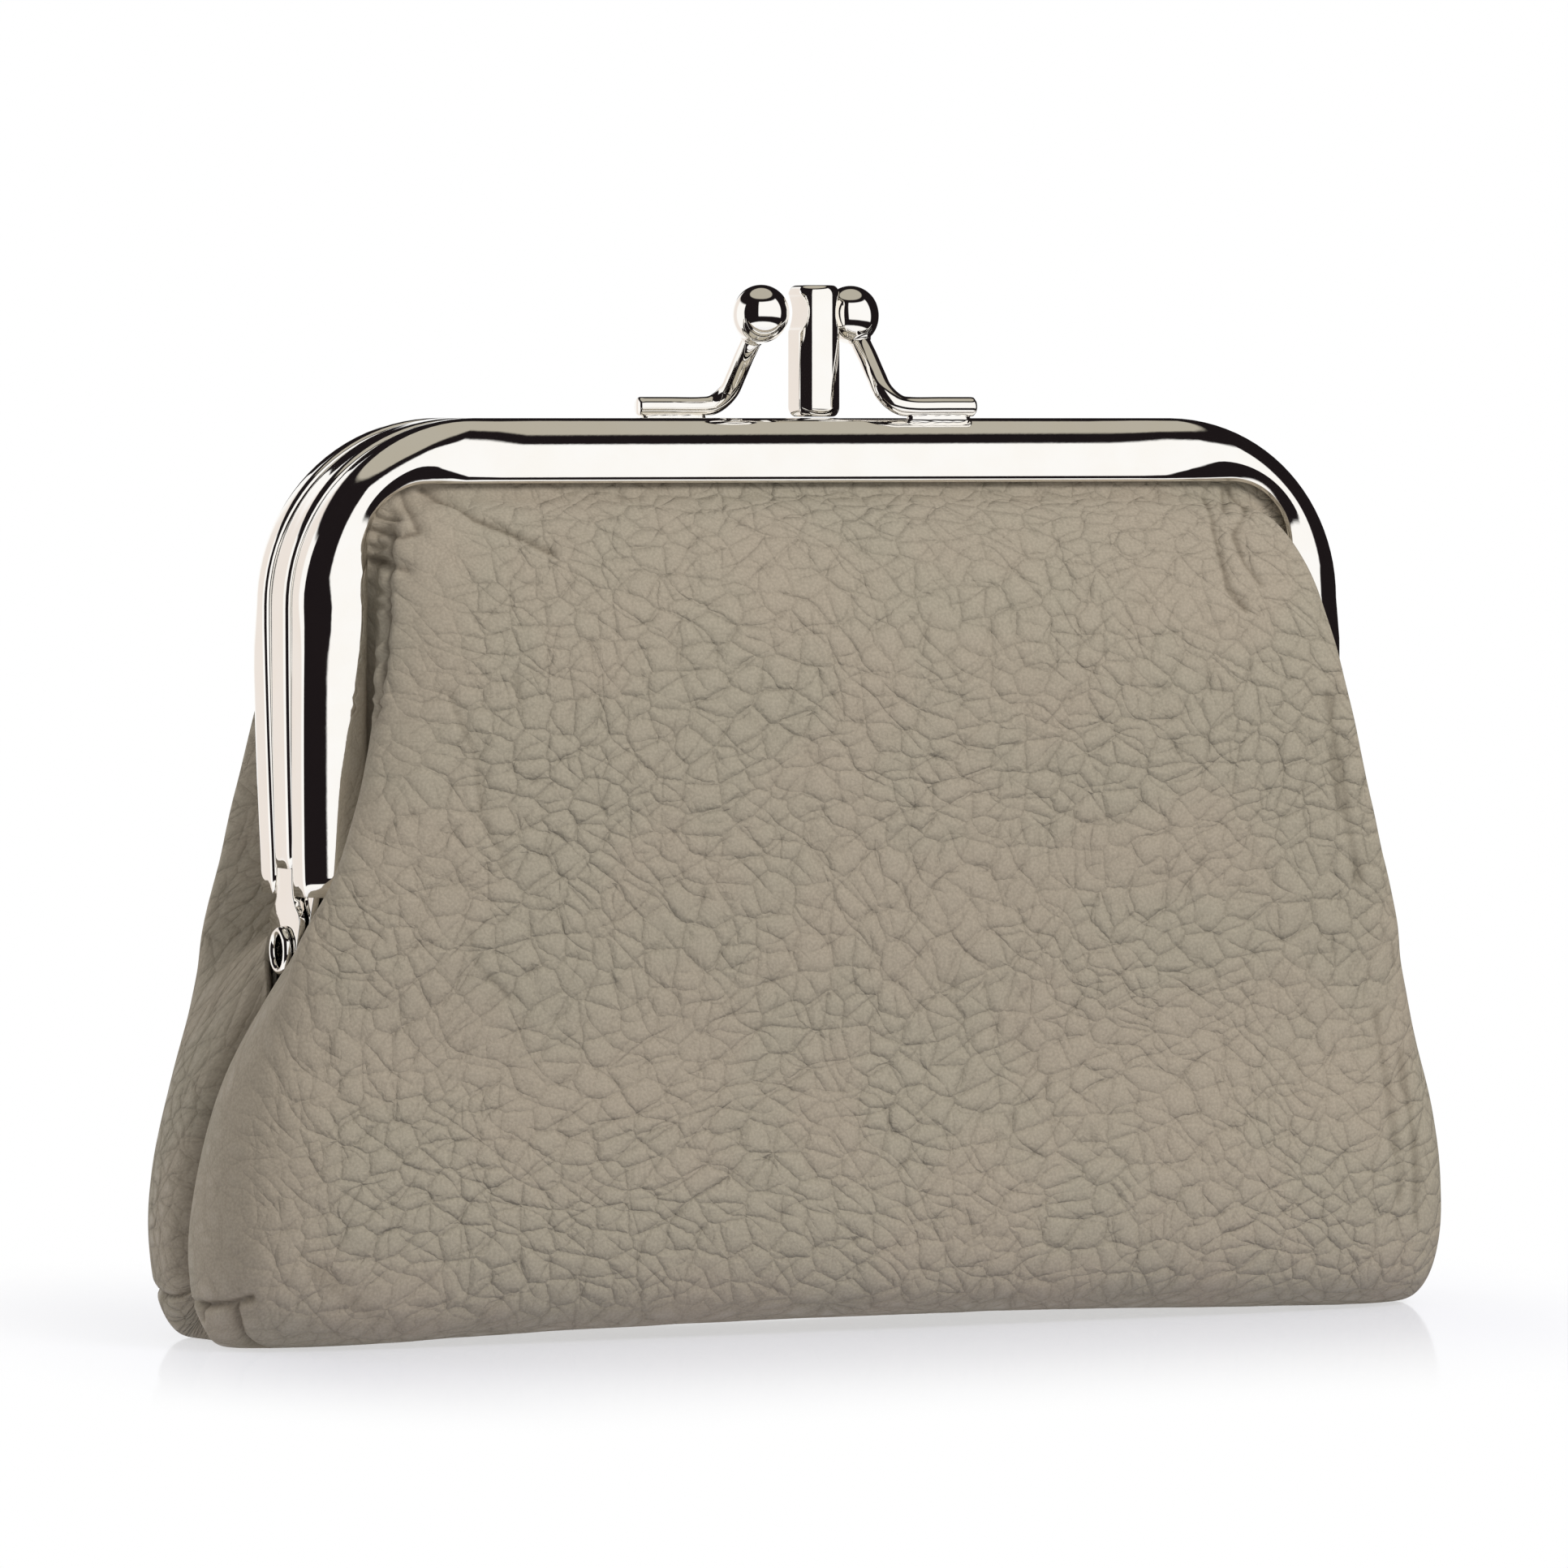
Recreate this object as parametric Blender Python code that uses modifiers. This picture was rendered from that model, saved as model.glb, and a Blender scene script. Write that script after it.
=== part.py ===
"""A leather coin purse with a three-bow ball clasp, in metres, standing on z = 0.

X runs along the frame, Y from the front to the rear and Z up. Front and rear are alike: each rear
piece is its front piece turned half round the Z axis.
"""
import math

import bmesh
import bpy
from mathutils import Matrix, Vector

MM = 0.001
DEGREE = math.pi / 180

# Clearances between pieces
PIECE_GAP = 0.3 * MM
SEAT_GAP = 0.1 * MM
PIVOT_GAP = 0.2 * MM
CUT_OVERRUN = 1.0 * MM

# The frame's bows, bent from a folded channel
FRAME_WIDTH = 100.0 * MM
FRAME_HEIGHT = 46.4 * MM
HINGE_HEIGHT = 34.0 * MM
CORNER_RADIUS = 16.5 * MM
LIP_CORNER_RADIUS = 6.5 * MM
LIP_CLEARANCE = 0.05 * MM
LEG_LEAN = 0.6 * MM
CHANNEL_FACE = 5.7 * MM
CHANNEL_WALL = 0.6 * MM
OUTER_BOW_DEPTH = 4.3 * MM
OUTER_BOW_ROUNDING = 2.3 * MM
CENTRE_BOW_DEPTH = 3.6 * MM
CENTRE_BOW_ROUNDING = 0.7 * MM
OUTER_LEG_END = 4.6 * MM
CENTRE_LEG_END = 7.2 * MM

# The hinge tabs and their eyelet rivets
TAB_RADIUS = 2.6 * MM
TAB_THICKNESS = 0.6 * MM
TAB_ROOT_LENGTH = 3.4 * MM
RIVET_BORE_RADIUS = 1.25 * MM
RIVET_WALL = 0.3 * MM
RIVET_FLANGE_RADIUS = 2.0 * MM
RIVET_FLANGE_THICKNESS = 0.5 * MM

# The clasp
POST_WIDTH = 4.2 * MM
POST_DEPTH = 3.6 * MM
POST_HEIGHT = 11.7 * MM
POST_OFFSET = 0.6 * MM
POST_ROUNDING = 1.2 * MM
NOTCH_DEPTH = 0.55 * MM
BALL_RADIUS = 2.5 * MM
BALL_REACH = 5.0 * MM
BALL_CROSSING = 1.6 * MM
BALL_HEIGHT = 9.3 * MM
ARM_RADIUS = 0.9 * MM
ARM_FOOT_LENGTH = 6.1 * MM
ARM_FOOT_START = 8.4 * MM

# The leather pouch, its lining and divider
POUCH_WIDTH = 119.4 * MM
POUCH_DEPTH = 34.0 * MM
BOTTOM_ARCH = 1.0 * MM
CORNER_LIFT = 3.2 * MM
LEATHER_THICKNESS = 1.1 * MM
LEATHER_SEAT = 2.6 * MM
MOUTH_EASE = 1.2 * MM
BEND_EASE = 0.3 * MM
BEND_DEPTH = 1.8 * MM
LINING_THICKNESS = 0.4 * MM
LINING_EASE = 1.1 * MM
FOLD_GAP = 0.9 * MM
DIVIDER_THICKNESS = 1.0 * MM
CORD_RADIUS = 0.6 * MM

# Worked out from the sizes above
FRAME_HALF = FRAME_WIDTH / 2
FRAME_TOP = HINGE_HEIGHT + FRAME_HEIGHT
CENTRE_BOW_FACE_Y = CENTRE_BOW_DEPTH / 2
OUTER_BOW_REAR_Y = CENTRE_BOW_FACE_Y + PIECE_GAP
OUTER_BOW_FRONT_Y = OUTER_BOW_REAR_Y + OUTER_BOW_DEPTH
OUTER_BOW_MIDDLE_Y = (OUTER_BOW_REAR_Y + OUTER_BOW_FRONT_Y) / 2
LEATHER_Y = OUTER_BOW_FRONT_Y - CHANNEL_WALL - PIECE_GAP
TAB_PITCH = TAB_THICKNESS + PIVOT_GAP
TAB_SINK = CHANNEL_WALL / 3
TAB_STACK = TAB_SINK + 2 * TAB_PITCH + TAB_THICKNESS
BALL_CENTRE = Vector((BALL_REACH, BALL_CROSSING, FRAME_TOP + BALL_HEIGHT))

# The arm's bends from its foot to the ball, as shares of the way across, back and up
ARM_BEND_SHARES = (
    (0.60, 0.01, 0.03),
    (0.31, 0.14, 0.16),
    (0.25, 0.36, 0.33),
    (0.22, 0.63, 0.53),
    (0.16, 0.80, 0.68),
)
# Where the arm and its socket end inside the ball, as shares of the ball's radius
ARM_END_SHARE = 0.45
SOCKET_END_SHARE = 0.36
# How far the socket's facets are turned from the ball's, in degrees
SOCKET_TURN = 2.25

# Shares of the pouch, row by row: height of HINGE_HEIGHT, seam and lobe of half the pouch's width,
# depth of half the pouch's depth
LOWER_ROW_SHARES = (
    (0.0, 0.935, 0.935, 0.0),
    (0.0, 0.950, 0.955, 0.36),
    (0.0, 0.968, 0.970, 0.68),
    (0.085, 0.988, 0.990, 0.92),
    (0.27, 0.998, 1.000, 1.0),
    (0.50, 0.970, 0.985, 0.985),
    (0.705, 0.925, 0.957, 0.94),
)
# One half of a row, from the side seam to the middle: how far from seam to lobe, share of that
# width, and share of the row's depth
LOWER_COLUMN_SHARES = (
    (0.0, 1.0, 0.0),
    (0.6, 1.0, 0.22),
    (1.0, 1.0, 0.46),
    (1.0, 0.965, 0.78),
    (1.0, 0.83, 0.955),
    (1.0, 0.42, 1.0),
    (1.0, 0.0, 1.0),
)
# How much of the arch and of the corner's lift each bottom row and each column takes
ARCH_ROW_SHARES = (1.0, 1.0, 0.9, 0.4, 0.0, 0.0, 0.0)
ARCH_COLUMN_SHARES = (0.0, 0.0, 0.0, 0.0, 0.0, 0.85, 1.0)
LIFT_ROW_SHARES = (0.8, 0.95, 1.0, 0.55, 0.0, 0.0, 0.0)
LIFT_COLUMN_SHARES = (1.0, 0.4, 0.0, 0.0, 0.0, 0.0, 0.0)
# How much of an inner layer's inset each row is raised
FLOOR_ROW_SHARES = (1.0, 1.0, 1.1, 1.2, 0.5, 0.0, 0.0)

# Shares of the upper panel, row by row from its lower edge: height of FRAME_HEIGHT above the hinge,
# lobe of half the frame's width, lobe's depth and middle depth of half the pouch's depth
UPPER_ROW_SHARES = (
    (-0.02, 1.092, 0.64, 0.95),
    (0.10, 1.052, 0.75, 0.945),
    (0.22, 1.016, 0.82, 0.935),
    (0.41, 0.968, 0.86, 0.92),
    (0.61, 0.928, 0.83, 0.87),
    (0.79, 0.868, 0.60, 0.62),
)
# The front's columns inside the lobe: share of the lobe's width, and how far from the lobe's depth
# to the middle's
UPPER_COLUMN_SHARES = (
    (1.0, 0.0),
    (0.955, 0.62),
    (0.76, 0.95),
    (0.0, 1.0),
)
# How far the two lowest rows' side columns rise to clear the hinge, as shares of OUTER_LEG_END
EDGE_RISE_SHARES = (
    (1.32, 1.25, 1.0, 0.45, 0.12, 0.0, 0.0),
    (0.70, 0.65, 0.55, 0.2, 0.05, 0.0, 0.0),
)
# The fold's two middle rows, as shares of the way up, and its top edge's side columns, as shares
# of the way from the panel's bend to its lobe
FOLD_ROW_SHARES = (0.35, 0.7)
FOLD_EDGE_SHARES = (0.0, 0.3, 0.65)
# Where the side columns meet the frame's corner, in degrees from its top, for the last rows
LEG_CORNER_ANGLES = (84.0, 64.0)
RIM_ROW_ANGLES = (
    (56.0, 50.0, 43.0, 35.0, 22.0),
    (50.0, 45.0, 40.0, 33.0, 20.0),
    (45.0, 42.0, 38.0, 32.0, 18.0),
)


def material(name, colour, roughness, metallic):
    """A Principled material."""
    made = bpy.data.materials.new(name)
    made.use_nodes = True
    shader = made.node_tree.nodes["Principled BSDF"]
    shader.inputs["Base Color"].default_value = (*colour, 1.0)
    shader.inputs["Roughness"].default_value = roughness
    shader.inputs["Metallic"].default_value = metallic
    made.diffuse_color = (*colour, 1.0)
    return made


def add(name, mesh, collection, finish=None):
    """Link a new object and give it its finish."""
    made = bpy.data.objects.new(name, mesh)
    collection.objects.link(made)
    if finish is not None:
        mesh.materials.clear()
        mesh.materials.append(finish)
    return made


def evaluated_mesh(thing):
    """The mesh that an object has once its curve settings and modifiers are worked out."""
    bpy.context.view_layer.update()
    graph = bpy.context.evaluated_depsgraph_get()
    return bpy.data.meshes.new_from_object(thing.evaluated_get(graph))


def closed_mesh(curve_object):
    """A curve object as a mesh in world space, with its caps welded and its faces pointing out."""
    mesh = evaluated_mesh(curve_object)
    mesh.transform(curve_object.matrix_world)
    work = bmesh.new()
    work.from_mesh(mesh)
    bmesh.ops.remove_doubles(work, verts=work.verts, dist=PIECE_GAP / 100)
    bmesh.ops.recalc_face_normals(work, faces=work.faces)
    work.to_mesh(mesh)
    work.free()
    data = curve_object.data
    bpy.data.objects.remove(curve_object)
    bpy.data.curves.remove(data)
    return mesh


def poly_curve(name, loops, closed):
    """A flat curve object through the given loops of points."""
    curve = bpy.data.curves.new(name, "CURVE")
    curve.dimensions = "2D"
    for loop in loops:
        spline = curve.splines.new("POLY")
        spline.points.add(len(loop) - 1)
        for point, (across, up) in zip(spline.points, loop):
            point.co = (across, up, 0.0, 1.0)
        spline.use_cyclic_u = closed
    made = bpy.data.objects.new(name, curve)
    bpy.context.scene.collection.objects.link(made)
    return made


def arc(centre, radius, start, end, steps):
    """Points along an arc, with its angles in degrees."""
    angles = [(start + (end - start) * step / steps) * DEGREE for step in range(steps + 1)]
    return [(centre[0] + radius * math.cos(turn), centre[1] + radius * math.sin(turn)) for turn in angles]


def sweep(name, outline, path):
    """A closed outline (inwards, forwards) carried along a path (x, z) in the frame's plane."""
    section = poly_curve(name + "_section", [outline], True)
    rail = poly_curve(name + "_rail", [path], False)
    rail.data.bevel_mode = "OBJECT"
    rail.data.bevel_object = section
    rail.data.use_fill_caps = True
    rail.rotation_euler = (90 * DEGREE, 0.0, 0.0)
    bpy.context.view_layer.update()
    mesh = closed_mesh(rail)
    data = section.data
    bpy.data.objects.remove(section)
    bpy.data.curves.remove(data)
    return mesh


def plate(name, loops, middle, thickness):
    """A flat plate across X, from loops of (y, z) points: the outline, then its holes."""
    blank = poly_curve(name, loops, True)
    blank.data.fill_mode = "BOTH"
    blank.data.extrude = thickness / 2
    blank.location = (middle, 0.0, 0.0)
    blank.rotation_euler = (90 * DEGREE, 0.0, 90 * DEGREE)
    bpy.context.view_layer.update()
    return closed_mesh(blank)


def combine(name, base, tools, operation, cutters):
    """Join tools to a base mesh, or cut them from it, and return the result as one mesh."""
    made = add(name + "_base", base, cutters)
    helpers = [made]
    for number, tool in enumerate(tools):
        helper = add(f"{name}_tool_{number}", tool, cutters)
        helper.hide_render = True
        helper.display_type = "WIRE"
        helpers.append(helper)
        modifier = made.modifiers.new(f"tool_{number}", "BOOLEAN")
        modifier.operation = operation
        modifier.solver = "EXACT"
        modifier.object = helper
    result = evaluated_mesh(made)
    for helper in helpers:
        bpy.data.objects.remove(helper)
    return result


def smooth(mesh, angle):
    """Shade a mesh smooth, with its edges sharp past an angle in degrees."""
    mesh.shade_smooth()
    mesh.set_sharp_from_angle(angle=angle * DEGREE)


def corner_point(angle, inset):
    """A point (x, z) on the frame's right corner, an angle in degrees from the top.

    Past the channel's lips the corner is tighter.
    """
    reach = CORNER_RADIUS if inset < CHANNEL_FACE else CHANNEL_FACE + LIP_CORNER_RADIUS
    turn = angle * DEGREE
    across = FRAME_HALF - reach + (reach - inset) * math.sin(turn)
    return (across, FRAME_TOP - reach + (reach - inset) * math.cos(turn))


def leg_x(height, inset):
    """Half the frame's width at a height on its leg, which leans in towards the hinge."""
    leg_top = FRAME_TOP - CORNER_RADIUS
    drop = max(0.0, leg_top - height) / (leg_top - HINGE_HEIGHT)
    return FRAME_HALF - inset - LEG_LEAN * drop * drop


def frame_path(inset, leg_end, steps=6):
    """Half-round path of a bow, from the left leg's end over the top to the right leg's."""
    leg_top = FRAME_TOP - CORNER_RADIUS
    bottom = HINGE_HEIGHT + leg_end
    right = [corner_point(90.0 * step / steps, inset) for step in range(steps + 1)]
    middle = (bottom + leg_top) / 2
    right += [(leg_x(middle, inset), middle), (leg_x(bottom, inset), bottom)]
    left = [(-across, up) for across, up in reversed(right)]
    return left + right


def channel_outline(front, rear, front_rounding, rear_rounding):
    """A folded channel's outline as (inwards, forwards), with its mouth facing inwards."""
    face, wall = CHANNEL_FACE, CHANNEL_WALL
    outer = arc((front_rounding, front - front_rounding), front_rounding, 90, 180, 4)
    outer += arc((rear_rounding, rear + rear_rounding), rear_rounding, 180, 270, 2)
    inner_rear = max(rear_rounding - wall, wall / 4)
    inner_front = max(front_rounding - wall, wall / 4)
    inner = arc((wall + inner_rear, rear + wall + inner_rear), inner_rear, 270, 180, 1)
    inner += arc((wall + inner_front, front - wall - inner_front), inner_front, 180, 90, 3)
    lips = [(face, rear), (face, rear + wall)], [(face, front - wall), (face, front)]
    return outer + lips[0] + inner + lips[1]


def disc(radius, steps=20):
    """A circle of points round the hinge axis, as (y, z)."""
    return arc((0.0, HINGE_HEIGHT), radius, 0, 360 - 360 / steps, steps - 1)


def tab_outline(low_y, high_y, root_bottom):
    """A hinge tab: a round end on the axis that runs up to a flat root between two depths."""
    root_top = root_bottom + TAB_ROOT_LENGTH
    centre_y = (low_y + high_y) / 2
    lean = math.atan2(-centre_y, root_bottom - HINGE_HEIGHT) / DEGREE
    round_end = arc((0.0, HINGE_HEIGHT), TAB_RADIUS, 180 + lean, 360 + lean, 12)
    return round_end + [(high_y, root_bottom), (high_y, root_top), (low_y, root_top), (low_y, root_bottom)]


def hinge_tab(name, side, layer, low_y, high_y, root_bottom):
    """One tab with its rivet hole, and the thicker root that joins it to its bow's leg."""
    hole_radius = RIVET_BORE_RADIUS + RIVET_WALL + PIVOT_GAP
    outer = leg_x(HINGE_HEIGHT + OUTER_LEG_END, TAB_SINK) - layer * TAB_PITCH
    middle = side * (outer - TAB_THICKNESS / 2)
    leaf = plate(name, [tab_outline(low_y, high_y, root_bottom), disc(hole_radius)], middle, TAB_THICKNESS)
    if layer == 0:
        return [leaf]
    sink = TAB_SINK / 2
    depth = layer * TAB_PITCH + TAB_THICKNESS + TAB_SINK - CHANNEL_WALL / 2 - sink
    root_middle = side * (outer - TAB_THICKNESS + sink + depth / 2)
    low, high = low_y + sink, high_y - sink
    bottom, top = root_bottom + sink, root_bottom + TAB_ROOT_LENGTH - sink
    corners = [(low, bottom), (high, bottom), (high, top), (low, top)]
    return [leaf, plate(name + "_root", [corners], root_middle, depth)]


def window():
    """A cutter that tightens the corners between the front bow's lips."""
    inset = CHANNEL_FACE + LIP_CLEARANCE
    leg_top = FRAME_TOP - CORNER_RADIUS
    bottom = HINGE_HEIGHT + OUTER_LEG_END
    right = [corner_point(90.0 * step / 8, inset) for step in range(9)]
    for height in (leg_top, (bottom + leg_top) / 2, bottom):
        right.append((leg_x(height, inset), height))
    right.append((leg_x(bottom, inset), bottom - CUT_OVERRUN))
    left = [(-across, up) for across, up in reversed(right)]
    blank = poly_curve("window", [left + right], True)
    blank.data.fill_mode = "BOTH"
    blank.data.extrude = OUTER_BOW_DEPTH / 2 + CUT_OVERRUN
    blank.location = (0.0, -OUTER_BOW_MIDDLE_Y, 0.0)
    blank.rotation_euler = (90 * DEGREE, 0.0, 0.0)
    bpy.context.view_layer.update()
    return closed_mesh(blank)


def outer_bow(parts, cutters, finish):
    """The front bow: its channel, and a tab on each leg that turns on the rivet."""
    front, rear = OUTER_BOW_FRONT_Y, OUTER_BOW_REAR_Y
    outline = channel_outline(front, rear, OUTER_BOW_ROUNDING, CENTRE_BOW_ROUNDING)
    swept = sweep("front_channel", outline, frame_path(0.0, OUTER_LEG_END))
    channel = combine("front_channel", swept, [window()], "DIFFERENCE", cutters)
    low_y = -OUTER_BOW_FRONT_Y + OUTER_BOW_ROUNDING / 2
    high_y = -OUTER_BOW_REAR_Y - CHANNEL_WALL / 2
    root_bottom = HINGE_HEIGHT + OUTER_LEG_END + PIECE_GAP
    tabs = []
    for side, layer in ((-1, 1), (1, 2)):
        tabs += hinge_tab("front_tab", side, layer, low_y, high_y, root_bottom)
    mesh = combine("front_frame", channel, tabs, "UNION", cutters)
    smooth(mesh, 35)
    return add("front_frame", mesh, parts, finish)


def centre_bow(parts, cutters, finish):
    """The centre bow: its channel, and the outermost tab on each leg."""
    half = CENTRE_BOW_FACE_Y
    outline = channel_outline(half, -half, CENTRE_BOW_ROUNDING, CENTRE_BOW_ROUNDING)
    channel = sweep("centre_channel", outline, frame_path(0.0, CENTRE_LEG_END))
    root_bottom = HINGE_HEIGHT + CENTRE_LEG_END + PIECE_GAP
    root_half = half - CENTRE_BOW_ROUNDING
    tabs = []
    for side in (-1, 1):
        tabs += hinge_tab("centre_tab", side, 0, -root_half, root_half, root_bottom)
    mesh = combine("centre_frame", channel, tabs, "UNION", cutters)
    smooth(mesh, 35)
    return add("centre_frame", mesh, parts, finish)


def rivet(name, side, parts, finish):
    """A hollow eyelet rivet, turned about the hinge axis."""
    outer_face = leg_x(HINGE_HEIGHT + OUTER_LEG_END, TAB_SINK)
    barrel = RIVET_BORE_RADIUS + RIVET_WALL
    stack = 2 * TAB_PITCH + TAB_THICKNESS
    near = PIVOT_GAP / 2
    flange = near + RIVET_FLANGE_THICKNESS
    chamfer = RIVET_FLANGE_THICKNESS / 3
    half_profile = [
        (RIVET_BORE_RADIUS, flange - chamfer),
        (RIVET_BORE_RADIUS + chamfer, flange),
        (RIVET_FLANGE_RADIUS - chamfer, flange),
        (RIVET_FLANGE_RADIUS, flange - chamfer),
        (RIVET_FLANGE_RADIUS, near),
        (barrel, near),
    ]
    profile = half_profile + [(radius, -stack - along) for radius, along in reversed(half_profile)]
    mesh = bpy.data.meshes.new(name)
    work = bmesh.new()
    corners = [work.verts.new((radius, 0.0, along)) for radius, along in profile]
    for number, corner in enumerate(corners):
        work.edges.new((corner, corners[(number + 1) % len(corners)]))
    work.to_mesh(mesh)
    work.free()
    made = add(name, mesh, parts, finish)
    screw = made.modifiers.new("turn", "SCREW")
    screw.axis = "Z"
    screw.steps = 16
    screw.render_steps = 16
    screw.use_merge_vertices = True
    screw.merge_threshold = PIECE_GAP / 100
    screw.use_smooth_shade = True
    made.location = (side * outer_face, 0.0, HINGE_HEIGHT)
    made.rotation_euler = (0.0, side * 90 * DEGREE, 0.0)
    return made


def bar(radius, length, place, segments):
    """A round bar along the Z axis of the place that a matrix gives, centred there."""
    work = bmesh.new()
    bmesh.ops.create_cone(
        work,
        cap_ends=True,
        segments=segments,
        radius1=radius,
        radius2=radius,
        depth=length,
        matrix=place,
    )
    mesh = bpy.data.meshes.new("bar")
    work.to_mesh(mesh)
    work.free()
    return mesh


def post(parts, cutters, finish):
    """The clasp post, notched on both sides at the balls' height."""
    work = bmesh.new()
    bmesh.ops.create_cube(work, size=1.0)
    bmesh.ops.scale(work, vec=(POST_WIDTH, POST_DEPTH, POST_HEIGHT), verts=work.verts)
    seat = FRAME_TOP + SEAT_GAP
    bmesh.ops.translate(work, vec=(POST_OFFSET, 0.0, seat + POST_HEIGHT / 2), verts=work.verts)
    bmesh.ops.bevel(
        work,
        geom=list(work.edges),
        offset=POST_ROUNDING,
        segments=4,
        profile=0.5,
        affect="EDGES",
        clamp_overlap=True,
    )
    mesh = bpy.data.meshes.new("clasp_post")
    work.to_mesh(mesh)
    work.free()
    notch_radius = BALL_RADIUS + PIECE_GAP
    length = POST_DEPTH + 2 * CUT_OVERRUN
    turn = Matrix.Rotation(90 * DEGREE, 4, "X")
    tools = []
    for side in (-1, 1):
        across = POST_OFFSET + side * (POST_WIDTH / 2 + notch_radius - NOTCH_DEPTH)
        place = Matrix.Translation((across, 0.0, FRAME_TOP + BALL_HEIGHT)) @ turn
        tools.append(bar(notch_radius, length, place, 32))
    notched = combine("clasp_post", mesh, tools, "DIFFERENCE", cutters)
    smooth(notched, 35)
    return add("clasp_post", notched, parts, finish)


def arm_route():
    """The front arm's centre line: a foot along the bow's top, then a rise across to its ball."""
    foot_y = -OUTER_BOW_MIDDLE_Y
    start_height = FRAME_TOP + SEAT_GAP + ARM_RADIUS
    foot_end = ARM_FOOT_START + ARM_FOOT_LENGTH
    rise = BALL_CENTRE.z - start_height
    across = ARM_FOOT_START - BALL_CENTRE.x
    depth = BALL_CENTRE.y - foot_y
    route = [(foot_end, foot_y, start_height), (ARM_FOOT_START, foot_y, start_height)]
    for over, back, up in ARM_BEND_SHARES:
        place = (BALL_CENTRE.x + across * over, foot_y + depth * back, start_height + rise * up)
        route.append(place)
    toward = (Vector(route[-1]) - BALL_CENTRE).normalized()
    route.append(tuple(BALL_CENTRE + toward * BALL_RADIUS * ARM_END_SHARE))
    return route


def arm(parts, finish):
    """The front clasp arm, a bent rod."""
    route = arm_route()
    curve = bpy.data.curves.new("front_clasp_arm", "CURVE")
    curve.dimensions = "3D"
    spline = curve.splines.new("BEZIER")
    spline.bezier_points.add(len(route) - 1)
    for point, place in zip(spline.bezier_points, route):
        point.co = place
        point.handle_left_type = "AUTO"
        point.handle_right_type = "AUTO"
    curve.resolution_u = 3
    curve.bevel_depth = ARM_RADIUS
    curve.bevel_resolution = 3
    curve.use_fill_caps = True
    rod = bpy.data.objects.new("front_clasp_arm", curve)
    bpy.context.scene.collection.objects.link(rod)
    bpy.context.view_layer.update()
    mesh = closed_mesh(rod)
    smooth(mesh, 50)
    return add("front_clasp_arm", mesh, parts, finish)


def ball(parts, cutters, finish):
    """The front clasp ball, with its pole towards the arm and a socket there."""
    toward = Vector(arm_route()[-1]) - BALL_CENTRE
    place = Matrix.Translation(BALL_CENTRE) @ toward.to_track_quat("Z", "Y").to_matrix().to_4x4()
    work = bmesh.new()
    bmesh.ops.create_uvsphere(work, u_segments=20, v_segments=12, radius=BALL_RADIUS, matrix=place)
    mesh = bpy.data.meshes.new("front_clasp_ball")
    work.to_mesh(mesh)
    work.free()
    floor = BALL_RADIUS * SOCKET_END_SHARE
    length = BALL_RADIUS + CUT_OVERRUN - floor
    middle = Matrix.Translation((0.0, 0.0, floor + length / 2))
    turn = Matrix.Rotation(SOCKET_TURN * DEGREE, 4, "Z")
    socket = bar(ARM_RADIUS + SEAT_GAP, length, place @ middle @ turn, 16)
    drilled = combine("front_clasp_ball", mesh, [socket], "DIFFERENCE", cutters)
    smooth(drilled, 40)
    return add("front_clasp_ball", drilled, parts, finish)


def shell(name, rows, thickness, levels, parts, finish):
    """A shell from a cage of points, row by row, thickened inwards."""
    row_count, column_count = len(rows), len(rows[0])
    work = bmesh.new()
    bmesh.ops.create_grid(work, x_segments=column_count - 1, y_segments=row_count - 1, size=1.0)
    for corner in work.verts:
        column = round((corner.co.x + 1) / 2 * (column_count - 1))
        row = round((corner.co.y + 1) / 2 * (row_count - 1))
        corner.co = rows[row][column]
    mesh = bpy.data.meshes.new(name)
    work.to_mesh(mesh)
    work.free()
    made = add(name, mesh, parts, finish)
    mesh.shade_smooth()
    if levels:
        soft = made.modifiers.new("soften", "SUBSURF")
        soft.levels = levels
        soft.render_levels = levels
        soft.boundary_smooth = "PRESERVE_CORNERS"
    solid = made.modifiers.new("thickness", "SOLIDIFY")
    solid.thickness = thickness
    solid.offset = -1.0
    solid.thickness_clamp = 0.0
    return made


def full_rows(half_rows):
    """Whole rows from half rows that run from the side to the middle, front pieces at low Y."""
    rows = []
    for half in half_rows:
        left = [(-across, -depth, up) for across, depth, up in half]
        right = [(across, -depth, up) for across, depth, up in reversed(half[:-1])]
        rows.append(left + right)
    return rows


def lower_half_rows(inset, seam_y):
    """The lower pouch's half rows, from the bottom seam up, moved inwards by an inset."""
    half_width, half_depth = POUCH_WIDTH / 2, POUCH_DEPTH / 2
    rows = []
    for row, (height, seam, lobe, depth) in enumerate(LOWER_ROW_SHARES):
        points = []
        for column, (toward, across, forward) in enumerate(LOWER_COLUMN_SHARES):
            width = half_width * (seam + (lobe - seam) * toward) - inset
            row_depth = max(half_depth * depth - inset - seam_y, 0.0)
            up = height * HINGE_HEIGHT
            up += BOTTOM_ARCH * ARCH_ROW_SHARES[row] * ARCH_COLUMN_SHARES[column]
            up += CORNER_LIFT * LIFT_ROW_SHARES[row] * LIFT_COLUMN_SHARES[column]
            up += inset * FLOOR_ROW_SHARES[row]
            points.append((width * across, seam_y + row_depth * forward, up))
        rows.append(points)
    return rows


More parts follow.
